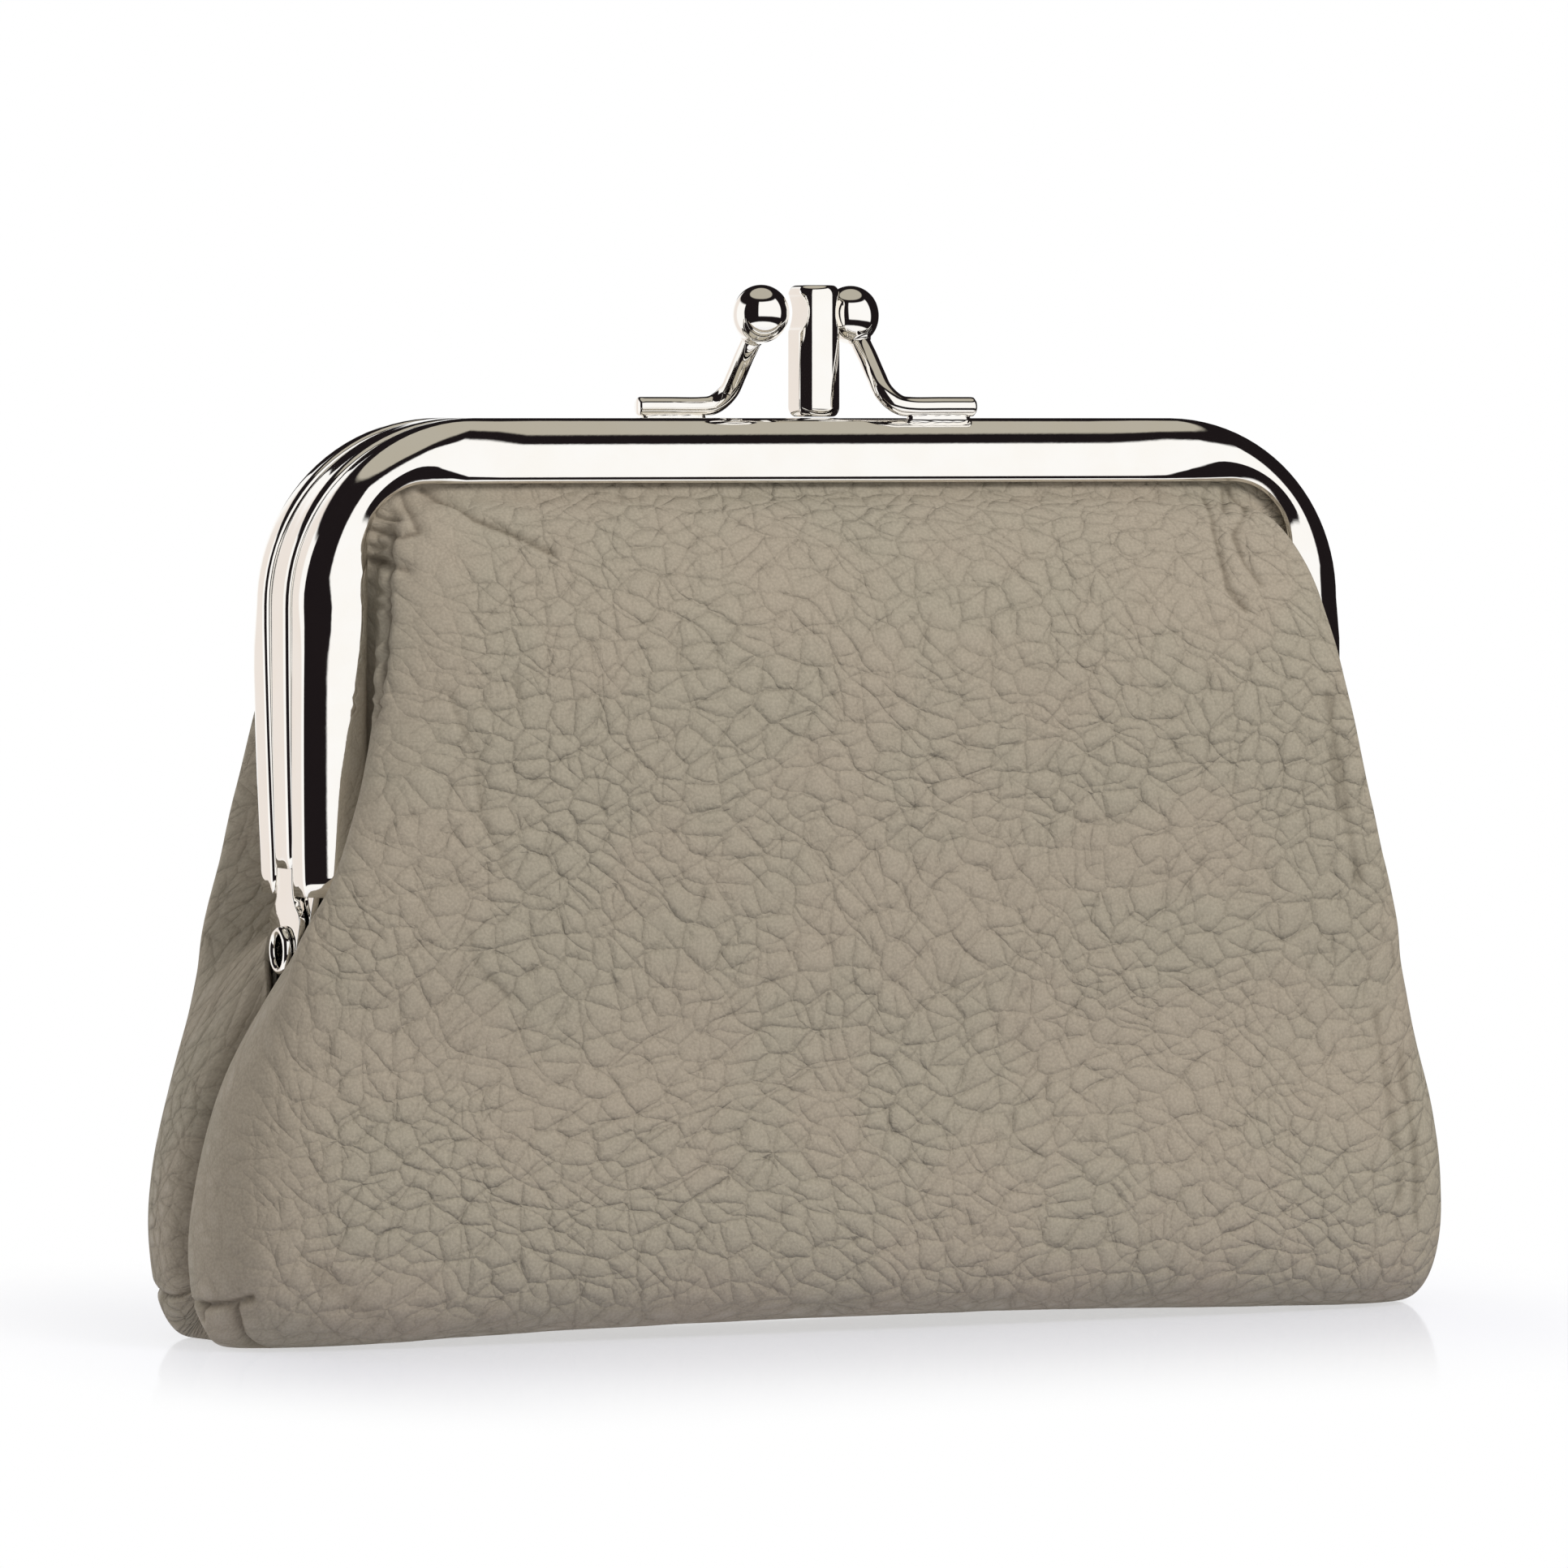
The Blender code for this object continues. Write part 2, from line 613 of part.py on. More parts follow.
def upper_half_rows(inset, seat_y):
    """The upper panel's half rows, from its lower edge to its seat in the front bow."""
    mouth_in = CHANNEL_FACE + MOUTH_EASE + inset
    bend_in = mouth_in + BEND_EASE
    bend_y = seat_y + BEND_DEPTH
    side_insets = (LEATHER_SEAT, mouth_in, bend_in)
    side_depths = (seat_y, seat_y, bend_y)
    half_depth = POUCH_DEPTH / 2
    last = len(UPPER_ROW_SHARES) - 1
    rows = []
    for row, (height, lobe, lobe_depth, depth) in enumerate(UPPER_ROW_SHARES):
        up = HINGE_HEIGHT + height * (FRAME_HEIGHT - inset)
        lobe_x = FRAME_HALF * lobe - 4 * inset
        middle_y = half_depth * depth - inset
        lobe_y = min(half_depth * lobe_depth, middle_y)
        rises = [0.0] * len(side_insets + UPPER_COLUMN_SHARES)
        if row < len(EDGE_RISE_SHARES):
            rises = [OUTER_LEG_END * share + inset / 3 for share in EDGE_RISE_SHARES[row]]
        points = []
        for column, (deep, forward) in enumerate(zip(side_insets, side_depths)):
            on_corner = row == last or (row == last - 1 and deep < CHANNEL_FACE)
            if on_corner:
                spot = corner_point(LEG_CORNER_ANGLES[row - last + 1], deep)
            else:
                spot = (leg_x(up + rises[column], deep), up + rises[column])
            points.append((spot[0], forward, spot[1]))
        for column, (across, toward) in enumerate(UPPER_COLUMN_SHARES):
            forward = lobe_y + (middle_y - lobe_y) * toward
            points.append((lobe_x * across, forward, up + rises[column + len(side_insets)]))
        rows.append(points)
    rim_rows = ((bend_in, bend_y), (mouth_in, seat_y), (LEATHER_SEAT, seat_y))
    straight_x = FRAME_HALF * UPPER_ROW_SHARES[-1][1] * UPPER_COLUMN_SHARES[2][0]
    for angles, (deep, forward) in zip(RIM_ROW_ANGLES, rim_rows):
        points = []
        for column, angle in enumerate(angles):
            column_in = min(deep, side_insets[min(column, len(side_insets) - 1)])
            column_y = side_depths[column] if column < len(side_depths) else forward
            spot = corner_point(angle, column_in)
            points.append((spot[0], min(forward, column_y), spot[1]))
        points.append((straight_x, forward, FRAME_TOP - deep))
        points.append((0.0, forward, FRAME_TOP - deep))
        rows.append(points)
    return rows


def fold_half_rows():
    """The band between the lower pouch and the upper panel, which folds as the bow opens."""
    lower = lower_half_rows(0.0, PIECE_GAP / 2)[-1]
    upper = upper_half_rows(0.0, LEATHER_Y)[0]
    bend, lobe = Vector(upper[2]), Vector(upper[3])
    upper[:3] = [tuple(bend.lerp(lobe, share)) for share in FOLD_EDGE_SHARES]
    first = [(across, depth, up + FOLD_GAP) for across, depth, up in lower]
    last = [(across, depth, up - FOLD_GAP) for across, depth, up in upper]
    between = []
    for share in FOLD_ROW_SHARES:
        row = [Vector(low).lerp(Vector(high), share) for low, high in zip(first, last)]
        between.append([tuple(spot) for spot in row])
    side_x = leg_x(HINGE_HEIGHT, 0.0)
    seam_top = HINGE_HEIGHT - TAB_RADIUS - 2 * PIECE_GAP
    tab_clear = TAB_RADIUS + 2 * PIECE_GAP + LEATHER_THICKNESS
    between[0][0] = (side_x + FOLD_GAP, PIECE_GAP / 2, seam_top - FOLD_GAP)
    between[0][1] = (side_x + 3 * FOLD_GAP, 2 * FOLD_GAP, seam_top - FOLD_GAP)
    between[1][0] = (side_x + FOLD_GAP, tab_clear, HINGE_HEIGHT)
    between[1][1] = (side_x + 2 * FOLD_GAP, tab_clear + 2 * FOLD_GAP, HINGE_HEIGHT)
    return [first, *between, last]


def paper_cord(name, middle_y, parts, finish):
    """The paper cord that wedges the leather in a bow's channel."""
    path = frame_path(CHANNEL_WALL + PIECE_GAP + CORD_RADIUS, OUTER_LEG_END + 2 * TAB_ROOT_LENGTH, 6)
    curve = poly_curve(name, [path], False)
    curve.data.dimensions = "3D"
    curve.data.bevel_depth = CORD_RADIUS
    curve.data.bevel_resolution = 1
    curve.data.use_fill_caps = True
    curve.rotation_euler = (90 * DEGREE, 0.0, 0.0)
    curve.location = (0.0, -middle_y, 0.0)
    bpy.context.view_layer.update()
    mesh = closed_mesh(curve)
    smooth(mesh, 50)
    return add(name, mesh, parts, finish)


def divider(parts, finish):
    """The sheet between the two pockets, seated in the centre bow and the bottom seam."""
    edge = LEATHER_THICKNESS + PIECE_GAP
    half_width = POUCH_WIDTH / 2
    right = [corner_point(90.0 * step / 6, LEATHER_SEAT) for step in range(7)]
    leg_bottom = HINGE_HEIGHT + CENTRE_LEG_END
    right.append((leg_x(leg_bottom, LEATHER_SEAT), leg_bottom))
    clear_x = leg_x(HINGE_HEIGHT, TAB_STACK + RIVET_FLANGE_THICKNESS + 2 * PIECE_GAP)
    right.append((clear_x, HINGE_HEIGHT + TAB_RADIUS))
    right.append((clear_x, HINGE_HEIGHT - TAB_RADIUS - PIECE_GAP))
    for height, seam, lobe, depth in reversed(LOWER_ROW_SHARES[3:]):
        right.append((half_width * seam - 2 * edge, height * HINGE_HEIGHT))
    floor = edge + CORNER_LIFT * LIFT_ROW_SHARES[0]
    right.append((half_width * LOWER_ROW_SHARES[0][1] - 2 * edge, floor + edge))
    right.append((half_width * LOWER_ROW_SHARES[0][1] * LOWER_COLUMN_SHARES[4][1], floor))
    left = [(-across, up) for across, up in reversed(right)]
    blank = poly_curve("divider", [left + right], True)
    blank.data.fill_mode = "BOTH"
    blank.data.extrude = DIVIDER_THICKNESS / 2
    blank.rotation_euler = (90 * DEGREE, 0.0, 0.0)
    bpy.context.view_layer.update()
    return add("divider", closed_mesh(blank), parts, finish)


def turned(name, source, parts):
    """The rear copy of a front piece, turned half round the Z axis."""
    made = source.copy()
    made.name = name
    parts.objects.link(made)
    made.rotation_euler.z += 180 * DEGREE
    return made


def pivot(name, turn, children, parts):
    """An empty on the hinge axis that carries the pieces of one bow."""
    made = bpy.data.objects.new(name, None)
    parts.objects.link(made)
    made.location = (0.0, 0.0, HINGE_HEIGHT)
    made.rotation_euler = (0.0, 0.0, turn)
    for child in children:
        child.parent = made
        child.rotation_euler = (0.0, 0.0, 0.0)
        child.location = (0.0, 0.0, -HINGE_HEIGHT)
    return made


def main():
    """Clear the scene and build the purse."""
    for old in list(bpy.data.objects):
        bpy.data.objects.remove(old)
    parts = bpy.data.collections.new("coin_purse")
    cutters = bpy.data.collections.new("cutters")
    bpy.context.scene.collection.children.link(parts)
    bpy.context.scene.collection.children.link(cutters)
    metal = material("polished_metal", (0.86, 0.82, 0.74), 0.08, 1.0)
    leather = material("pebbled_leather", (0.33, 0.30, 0.235), 0.55, 0.0)
    lining = material("lining_fabric", (0.30, 0.27, 0.22), 0.85, 0.0)
    board = material("divider_fabric", (0.28, 0.25, 0.20), 0.85, 0.0)
    paper = material("paper_cord", (0.62, 0.50, 0.34), 0.9, 0.0)

    centre_bow(parts, cutters, metal)
    post(parts, cutters, metal)
    rivet("hinge_rivet_left", -1, parts, metal)
    rivet("hinge_rivet_right", 1, parts, metal)
    divider(parts, board)
    paper_cord("centre_cord", 0.0, parts, paper)

    seam_y = PIECE_GAP / 2
    lining_seam_y = DIVIDER_THICKNESS / 2 + PIECE_GAP
    lining_inset = LEATHER_THICKNESS + LINING_EASE
    lining_seat_y = LEATHER_Y - LEATHER_THICKNESS - PIECE_GAP
    rows = full_rows(lower_half_rows(0.0, seam_y))
    lower = shell("front_leather_lower", rows, LEATHER_THICKNESS, 1, parts, leather)
    rows = full_rows(fold_half_rows())
    fold = shell("front_leather_fold", rows, LEATHER_THICKNESS, 0, parts, leather)
    rows = full_rows(lower_half_rows(lining_inset, lining_seam_y))
    lower_lining = shell("front_lining_lower", rows, LINING_THICKNESS, 0, parts, lining)
    for front in (lower, fold, lower_lining):
        turned(front.name.replace("front", "rear"), front, parts)

    rows = full_rows(upper_half_rows(0.0, LEATHER_Y))
    upper = shell("front_leather_upper", rows, LEATHER_THICKNESS, 1, parts, leather)
    rows = full_rows(upper_half_rows(lining_inset, lining_seat_y))
    upper_lining = shell("front_lining_upper", rows, LINING_THICKNESS, 0, parts, lining)
    fronts = [
        outer_bow(parts, cutters, metal),
        arm(parts, metal),
        ball(parts, cutters, metal),
        paper_cord("front_cord", OUTER_BOW_MIDDLE_Y, parts, paper),
        upper,
        upper_lining,
    ]
    rears = [turned(front.name.replace("front", "rear"), front, parts) for front in fronts]
    pivot("front_pivot", 0.0, fronts, parts)
    pivot("rear_pivot", 180 * DEGREE, rears, parts)


main()
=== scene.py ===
"""Looks of the coin purse: its leather, linings, divider and cords, and its polished bows and clasp.

X runs along the frame, Y from the front to the rear and Z up, in metres. Rear pieces are front pieces
turned half round the Z axis.
"""
import math

import bmesh
import bpy
import numpy as np
from mathutils import Matrix, Vector, noise


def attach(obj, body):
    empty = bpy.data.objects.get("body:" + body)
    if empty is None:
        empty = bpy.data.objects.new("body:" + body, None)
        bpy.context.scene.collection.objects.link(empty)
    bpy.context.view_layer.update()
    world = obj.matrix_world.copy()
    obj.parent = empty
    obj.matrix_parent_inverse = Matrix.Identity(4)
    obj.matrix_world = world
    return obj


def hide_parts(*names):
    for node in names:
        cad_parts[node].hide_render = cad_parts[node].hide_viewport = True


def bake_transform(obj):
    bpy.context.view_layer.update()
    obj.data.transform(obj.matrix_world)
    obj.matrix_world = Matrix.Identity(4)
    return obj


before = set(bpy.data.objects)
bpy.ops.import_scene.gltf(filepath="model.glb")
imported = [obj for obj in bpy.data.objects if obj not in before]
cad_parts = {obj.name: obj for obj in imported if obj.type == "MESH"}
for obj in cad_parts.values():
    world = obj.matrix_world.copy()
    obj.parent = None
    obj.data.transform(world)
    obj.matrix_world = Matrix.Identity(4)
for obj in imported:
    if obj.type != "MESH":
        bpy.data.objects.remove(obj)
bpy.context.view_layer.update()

MM = 0.001
DEGREE = math.pi / 180
MERGE_DISTANCE = 0.001 * MM
WHITE = (1.0, 1.0, 1.0, 1.0)

# The frame in mm, as in the CAD model but for a tighter lip corner and outer legs that end 0.3 mm higher
FRAME_HALF = 50.0
FRAME_TOP = 80.4
HINGE_HEIGHT = 34.0
CORNER_RADIUS = 16.5
LIP_CORNER_RADIUS = 5.6
FACE = 5.7
LEG_LEAN = 0.6
OUTER_LEG_END = 4.9
CENTRE_LEG_END = 7.2
TAB_RADIUS = 2.6
TAB_THICKNESS = 0.6
TAB_PITCH = 0.8
TAB_SINK = 0.2
TAB_ROOT_LENGTH = 3.4
RIVET_HOLE_RADIUS = 1.75

# Details of the bows and rivets, in mm
TAB_BEVEL = 0.1
ROOT_INSET = 0.1
OUTER_TAB = (-5.4, -2.5)
OUTER_ROOT_RISE = 0.2
CENTRE_LIP_RADIUS = 10.8
CENTRE_TAB_HALF = 1.9
CENTRE_TAB_EXTRA = 0.2
CENTRE_ROOT_DROP = 0.9
CENTRE_FLARE = ((3.35, 1.3), (3.8, 2.2), (3.85, 2.75), (3.5, 3.35), (2.7, 4.0), (2.15, 4.7), (1.95, 5.6))
EYELET_BORE = 1.4
EYELET_BARREL = 1.65
EYELET_END = ((1.4, 0.2), (1.46, 0.55), (1.74, 0.78), (2.04, 0.62), (2.18, 0.28), (2.1, 0.06), (1.7, 0.04))

# Profiles of the bows in mm, as (inwards from the outer edge, y), from lip to lip and back inside
BACK_PROFILE = ((5.7, -2.35), (3.0, -2.35), (0.9, -2.35), (0.25, -2.45), (0.02, -2.8))
INNER_PROFILE = (
    (5.72, -6.3), (5.64, -6.12), (5.3, -6.05), (3.4, -5.9), (2.0, -5.4), (1.2, -4.7), (0.7, -3.7),
    (0.6, -3.1), (0.9, -2.95), (3.0, -2.95), (5.6, -2.95), (5.75, -2.65), (5.7, -2.35),
)
TOP_PROFILE = (
    *BACK_PROFILE, (0.0, -3.3), (0.06, -3.9), (0.3, -4.4), (0.8, -4.98), (1.45, -5.5), (2.35, -6.0),
    (3.2, -6.3), (4.2, -6.52), (4.95, -6.61), (5.3, -6.58), (5.6, -6.46), *INNER_PROFILE,
)
CORNER_PROFILE = (
    *BACK_PROFILE, (0.0, -3.6), (0.04, -4.35), (0.25, -5.0), (0.8, -5.6), (1.5, -6.1), (2.3, -6.52),
    (3.1, -6.8), (3.65, -6.9), (4.0, -6.88), (4.8, -6.69), (5.55, -6.5), *INNER_PROFILE,
)
LEG_PROFILE = (
    *BACK_PROFILE, (0.0, -3.9), (0.0, -4.9), (0.12, -5.65), (0.8, -6.2), (1.6, -6.7), (2.45, -7.08),
    (3.2, -7.2), (4.2, -7.24), (4.95, -7.2), (5.3, -7.08), (5.6, -6.8), *INNER_PROFILE,
)
CENTRE_PROFILE = (
    (5.7, 2.05), (3.0, 2.05), (0.9, 2.05), (0.35, 2.0), (0.08, 1.7), (0.0, 1.2), (0.0, 0.0), (0.0, -1.2),
    (0.08, -1.7), (0.35, -2.0), (0.9, -2.05), (3.0, -2.05), (5.7, -2.05), (5.75, -1.75), (5.6, -1.45),
    (3.0, -1.45), (0.9, -1.45), (0.6, -1.05), (0.6, 1.05), (0.9, 1.45), (3.0, 1.45), (5.6, 1.45),
    (5.75, 1.75), (5.7, 2.05),
)

# A bow's section is its top profile up to its corner, then its corner profile, then its leg profile. The
# turn goes from 0 at the top to 1 at the leg, about a point inside the corner.
TURN_CENTRE = (33.0, 62.0)
RIGHT_CORNER_START = 0.02
LEFT_CORNER_START = 0.14
CORNER_END = 0.88
CORNER_FADE_IN = 0.2
CORNER_FADE_OUT = 0.24
LEG_START = 0.45

# The outer bows' upper part stands to one side, from this height up
BOW_SHIFT = 0.35
SHIFT_START = 42.0
SHIFT_RISE = 20.0

# The clasp, in mm
POST_CENTRE_X = 1.0
POST_HALF_X = 1.95
POST_EASE = 0.02
POST_ROUND = 2.25
POST_ROUND_Y = 0.45
POST_SIDE = (-0.5, 1.6)
POST_CORNER = 0.5
POST_CORNER_Y = 1.8
POST_HEIGHT = 11.7
POST_FOOT = FRAME_TOP + 0.1
POST_END = 0.9
POST_PINCH = 0.3
NOTCH_HEIGHT = 9.3
NOTCH_RADIUS = 2.8
NOTCH_DEPTH = 0.6
BALL_CENTRE = (5.0, 1.6, 89.7)
BALL_RADIUS = 2.5
BALL_STRETCH = 1.12
BALL_NECK = ((1.0, 2.68), (0.94, 2.85), (0.0, 2.85))
ARM_RADIUS = 0.88
ARM_END = 0.35
ARM_EASE = 0.22
ARM_ROUTE = (
    (14.5, -4.25, 81.4), (11.4, -4.25, 81.4), (8.4, -4.25, 81.4), (7.04, -4.19, 81.65), (6.05, -3.43, 82.73),
    (5.85, -2.14, 84.14), (5.75, -0.56, 85.8), (5.54, 0.43, 87.04), (5.3, 0.95, 88.3),
)
BEAD_SPAN = (8.0, 14.0)
BEAD_STEPS = 40
BEAD_PLACE = (-4.25, 80.35)
BEAD_RADIUS = 0.62
BEAD_UNEVEN = 0.1
BEAD_END_STEPS = 5

# The leather's cage in mm, row by row from the bottom seam up to its seat in the bow. A row runs from
# the side to the middle as (x, depth, z).
LEATHER_CAGE = (
    ((55.8, 0.02, 2.6), (55.8, 0.02, 1.0), (55.8, 0.02, 0.0), (53.9, 0.02, 0.0), (46.3, 0.02, 0.0),
     (23.4, 0.02, 0.8), (0.0, 0.02, 1.0)),
    ((56.7, 0.02, 3.0), (56.9, 1.5, 1.2), (57.0, 2.9, 0.0), (55.0, 4.8, 0.0), (47.3, 5.9, 0.0),
     (23.9, 6.1, 0.8), (0.0, 6.1, 1.0)),
    ((57.8, 0.02, 3.2), (57.9, 2.7, 1.3), (57.9, 5.4, 0.0), (55.9, 9.0, 0.0), (48.1, 11.0, 0.0),
     (24.3, 11.6, 0.8), (0.0, 11.6, 0.9)),
    ((59.0, 0.02, 4.7), (59.1, 3.6, 3.6), (59.1, 7.3, 2.9), (57.0, 12.2, 2.9), (49.1, 14.9, 2.9),
     (24.8, 15.6, 3.2), (0.0, 15.6, 3.3)),
    ((59.6, 0.02, 9.2), (59.7, 3.9, 9.2), (59.7, 7.9, 9.2), (57.6, 13.3, 9.2), (49.6, 16.2, 9.2),
     (25.1, 17.0, 9.2), (0.0, 17.0, 9.2)),
    ((57.9, 0.02, 17.0), (58.4, 3.8, 17.0), (58.8, 7.8, 17.0), (56.7, 13.1, 17.0), (48.8, 16.0, 17.0),
     (24.7, 16.7, 17.0), (0.0, 16.7, 17.0)),
    ((55.2, 0.02, 24.0), (56.4, 3.6, 24.0), (57.1, 7.4, 24.0), (55.1, 12.5, 24.0), (47.4, 15.3, 24.0),
     (24.0, 16.0, 24.0), (0.0, 16.0, 24.0)),
    ((50.3, 0.02, 29.9), (52.1, 1.8, 29.9), (54.7, 8.2, 28.5), (54.9, 11.9, 28.2), (49.1, 14.9, 27.6),
     (30.1, 15.9, 27.4), (0.0, 16.0, 27.4)),
    ((50.3, 4.3, 34.0), (51.2, 6.1, 34.0), (52.4, 9.0, 32.1), (54.8, 11.4, 31.4), (50.7, 14.5, 30.4),
     (36.2, 15.9, 30.0), (0.0, 16.1, 30.0)),
    ((47.0, 5.5, 39.1), (42.7, 5.5, 38.8), (42.3, 7.3, 37.7), (54.6, 10.9, 35.1), (52.1, 14.1, 33.6),
     (41.5, 15.9, 33.1), (0.0, 16.2, 33.1)),
    ((47.1, 5.5, 41.9), (42.8, 5.5, 41.6), (42.5, 7.3, 41.2), (52.6, 12.8, 39.6), (50.2, 14.8, 38.9),
     (40.0, 15.9, 38.6), (0.0, 16.1, 38.6)),
    ((47.1, 5.5, 44.2), (42.8, 5.5, 44.2), (42.5, 7.3, 44.2), (50.8, 13.9, 44.2), (48.5, 15.2, 44.2),
     (38.6, 15.8, 44.2), (0.0, 15.9, 44.2)),
    ((47.3, 5.5, 53.0), (43.0, 5.5, 53.0), (42.7, 7.3, 53.0), (48.4, 14.6, 53.0), (46.2, 15.3, 53.0),
     (36.8, 15.6, 53.0), (0.0, 15.6, 53.0)),
    ((47.3, 5.5, 65.4), (43.1, 5.5, 62.3), (42.8, 7.3, 62.3), (46.4, 14.1, 62.3), (44.3, 14.5, 62.3),
     (35.3, 14.8, 62.3), (0.0, 14.8, 62.3)),
    ((46.0, 5.5, 70.0), (42.6, 5.5, 70.5), (42.3, 7.3, 70.4), (43.4, 10.2, 70.7), (41.4, 10.4, 70.7),
     (33.0, 10.5, 70.7), (0.0, 10.5, 70.7)),
    ((45.0, 5.5, 71.7), (41.9, 5.5, 71.6), (41.2, 7.3, 71.9), (40.7, 7.3, 72.3), (39.7, 7.3, 72.8),
     (33.0, 7.3, 73.2), (0.0, 7.3, 73.2)),
    ((44.1, 5.5, 72.8), (41.5, 5.5, 71.9), (41.2, 5.5, 72.3), (40.7, 5.5, 72.6), (39.6, 5.5, 73.2),
     (33.0, 5.5, 73.5), (0.0, 5.5, 73.5)),
    ((43.3, 5.5, 73.7), (42.8, 5.5, 74.2), (42.1, 5.5, 74.9), (40.9, 5.5, 75.7), (37.8, 5.5, 77.1),
     (33.0, 5.5, 77.8), (0.0, 5.5, 77.8)),
)
# Rows whose left side lies flatter against the bow, as (x, depth) of the columns from number 2
LEFT_CHANGES = {
    10: ((43.2, 7.3), (50.9, 11.8), (48.8, 14.3)),
    11: ((43.4, 7.3), (48.5, 11.4), (46.7, 13.9)),
    12: ((43.6, 7.3), (45.6, 10.8), (44.2, 12.8), (36.8, 15.4)),
    13: ((43.6, 7.3), (43.8, 9.6), (42.3, 11.4), (35.3, 14.4)),
    14: ((42.6, 7.3), (42.4, 8.5), (40.8, 9.5)),
}
LEATHER_SPACING = 0.3
LEATHER_THICKNESS = 1.05
LINING_SPACING = 1.2
LINING_OFFSET = 1.5
LINING_THICKNESS = 0.3
LINING_LIMIT = -0.9
SHEET_SPAN = 130.0

# The valley along the side seams
SEAM_DEPTH = 1.5
SEAM_WIDTH = 1.7
SEAM_TOP = 32.0
SEAM_TOP_FADE = 6.0

# Unevenness of the leather, which starts outside its seat in the bow
WAVE_HEIGHT = 0.25
WAVE_SIZE = 16.0
DIMPLE_HEIGHT = 0.12
DIMPLE_SIZE = 5.0
SEAT_DEPTH = 7.5
SEAT_FADE = 3.0
WOBBLE = 0.5
WOBBLE_SIZE = 3.0

# The grain is weaker beside the front leather's left seam
GRAIN_START = 3.0
GRAIN_FADE = 15.0
GRAIN_LEAST = 0.4

# Creases as (depth, width, line of points on the flat sheet), in mm. Each is pressed into the leather and
# also gets painted shade along its line
FRONT_CREASES = (
    (0.4, 0.55, ((-38.6, 90.4), (-36.4, 88.5), (-34.8, 86.0), (-30.7, 83.5), (-28.4, 82.0))),
    (0.35, 0.7, ((-46.5, 86.0), (-44.9, 85.5), (-41.8, 84.0), (-40.3, 84.5))),
    (0.4, 0.7, ((-47.5, 82.0), (-45.8, 81.5), (-41.9, 80.5))),
    (0.3, 0.6, ((-40.6, 90.9), (-40.2, 85.0))),
    (0.3, 0.6, ((-43.6, 89.0), (-41.6, 87.0))),
    (0.55, 0.6, ((-43.2, 85.0), (-43.9, 80.5), (-44.6, 76.0), (-45.2, 71.5), (-46.3, 67.5))),
    (0.28, 0.5, ((36.2, 89.0), (35.3, 83.5), (35.3, 81.5), (35.5, 78.0), (36.9, 76.0))),
    (0.28, 0.5, ((38.5, 90.0), (37.2, 86.5))),
    (0.28, 0.5, ((38.9, 90.4), (39.9, 88.0), (39.1, 86.0), (37.2, 83.5), (37.6, 80.5), (38.8, 78.5))),
    (0.14, 0.5, ((-39.4, 69.5), (-37.0, 63.5), (-36.8, 59.0), (-34.7, 54.5))),
    (0.14, 0.5, ((-33.1, 70.5), (-32.7, 67.5))),
    (0.14, 0.5, ((-38.0, 48.5), (-37.6, 46.0), (-34.0, 42.5))),
    (0.2, 1.1, ((44.4, 68.0), (45.4, 60.5), (47.7, 51.5))),
    (0.2, 1.1, ((52.9, 35.5), (54.1, 28.0), (54.2, 21.0))),
    (0.16, 0.9, ((50.0, 39.0), (51.4, 29.5), (52.1, 22.5))),
    (0.12, 1.2, ((-52.1, 20.0), (-48.9, 17.5), (-45.6, 15.0))),
    (0.8, 0.4, ((-67.8, 14.5), (-61.9, 16.5), (-59.2, 17.0), (-57.4, 17.5))),
    (0.7, 0.4, ((-59.1, 16.5), (-58.1, 14.5), (-57.2, 13.0), (-54.2, 9.5))),
    (0.4, 0.5, ((-64.1, 16.0), (-63.1, 14.0))),
)
REAR_CREASES = (
    (0.2, 1.1, ((-46.4, 68.0), (-49.0, 58.5), (-52.0, 45.0))),
    (0.3, 0.6, ((-40.6, 90.9), (-40.0, 84.5))),
    (0.35, 0.6, ((38.6, 90.0), (36.4, 86.5), (33.0, 83.5))),
    (0.25, 1.2, ((51.0, 39.0), (53.4, 30.5), (54.5, 21.5))),
    (0.6, 0.5, ((67.8, 14.5), (61.9, 16.5), (57.4, 17.5))),
    (0.5, 0.5, ((59.1, 16.5), (57.2, 13.0), (54.2, 9.5))),
)

# Small pleats beside the front bow's left lip
PLEAT_LINE = ((-44.6, 84.0), (-46.4, 68.0))
PLEAT_HEIGHT = 0.28
PLEAT_PITCH = 2.3
PLEAT_SPREAD = 1.6

DIVIDER_THICKNESS = 0.96
DIVIDER_BEVEL = 0.3
DIVIDER_OUTLINE = (
    (0.0, 77.8), (33.5, 77.8), (37.1, 77.3), (40.45, 75.9), (43.3, 73.7), (45.5, 70.9), (46.9, 67.5),
    (47.4, 63.9), (46.8, 41.2), (46.1, 36.6), (46.1, 31.1), (52.4, 24.0), (55.1, 17.0), (56.8, 9.2),
    (56.2, 4.6), (53.0, 4.5), (46.3, 4.0), (0.0, 4.0),
)

# The twisted cords, in mm, with the twist in radians a step
CORD_INSET = 1.5
CORD_DEPTH = 4.25
CORD_SPACING = 0.4
CORD_RADIUS = 0.5
CORD_CORNERS = 18
STRAND_HEIGHT = 0.09
STRAND_TWIST = 0.35

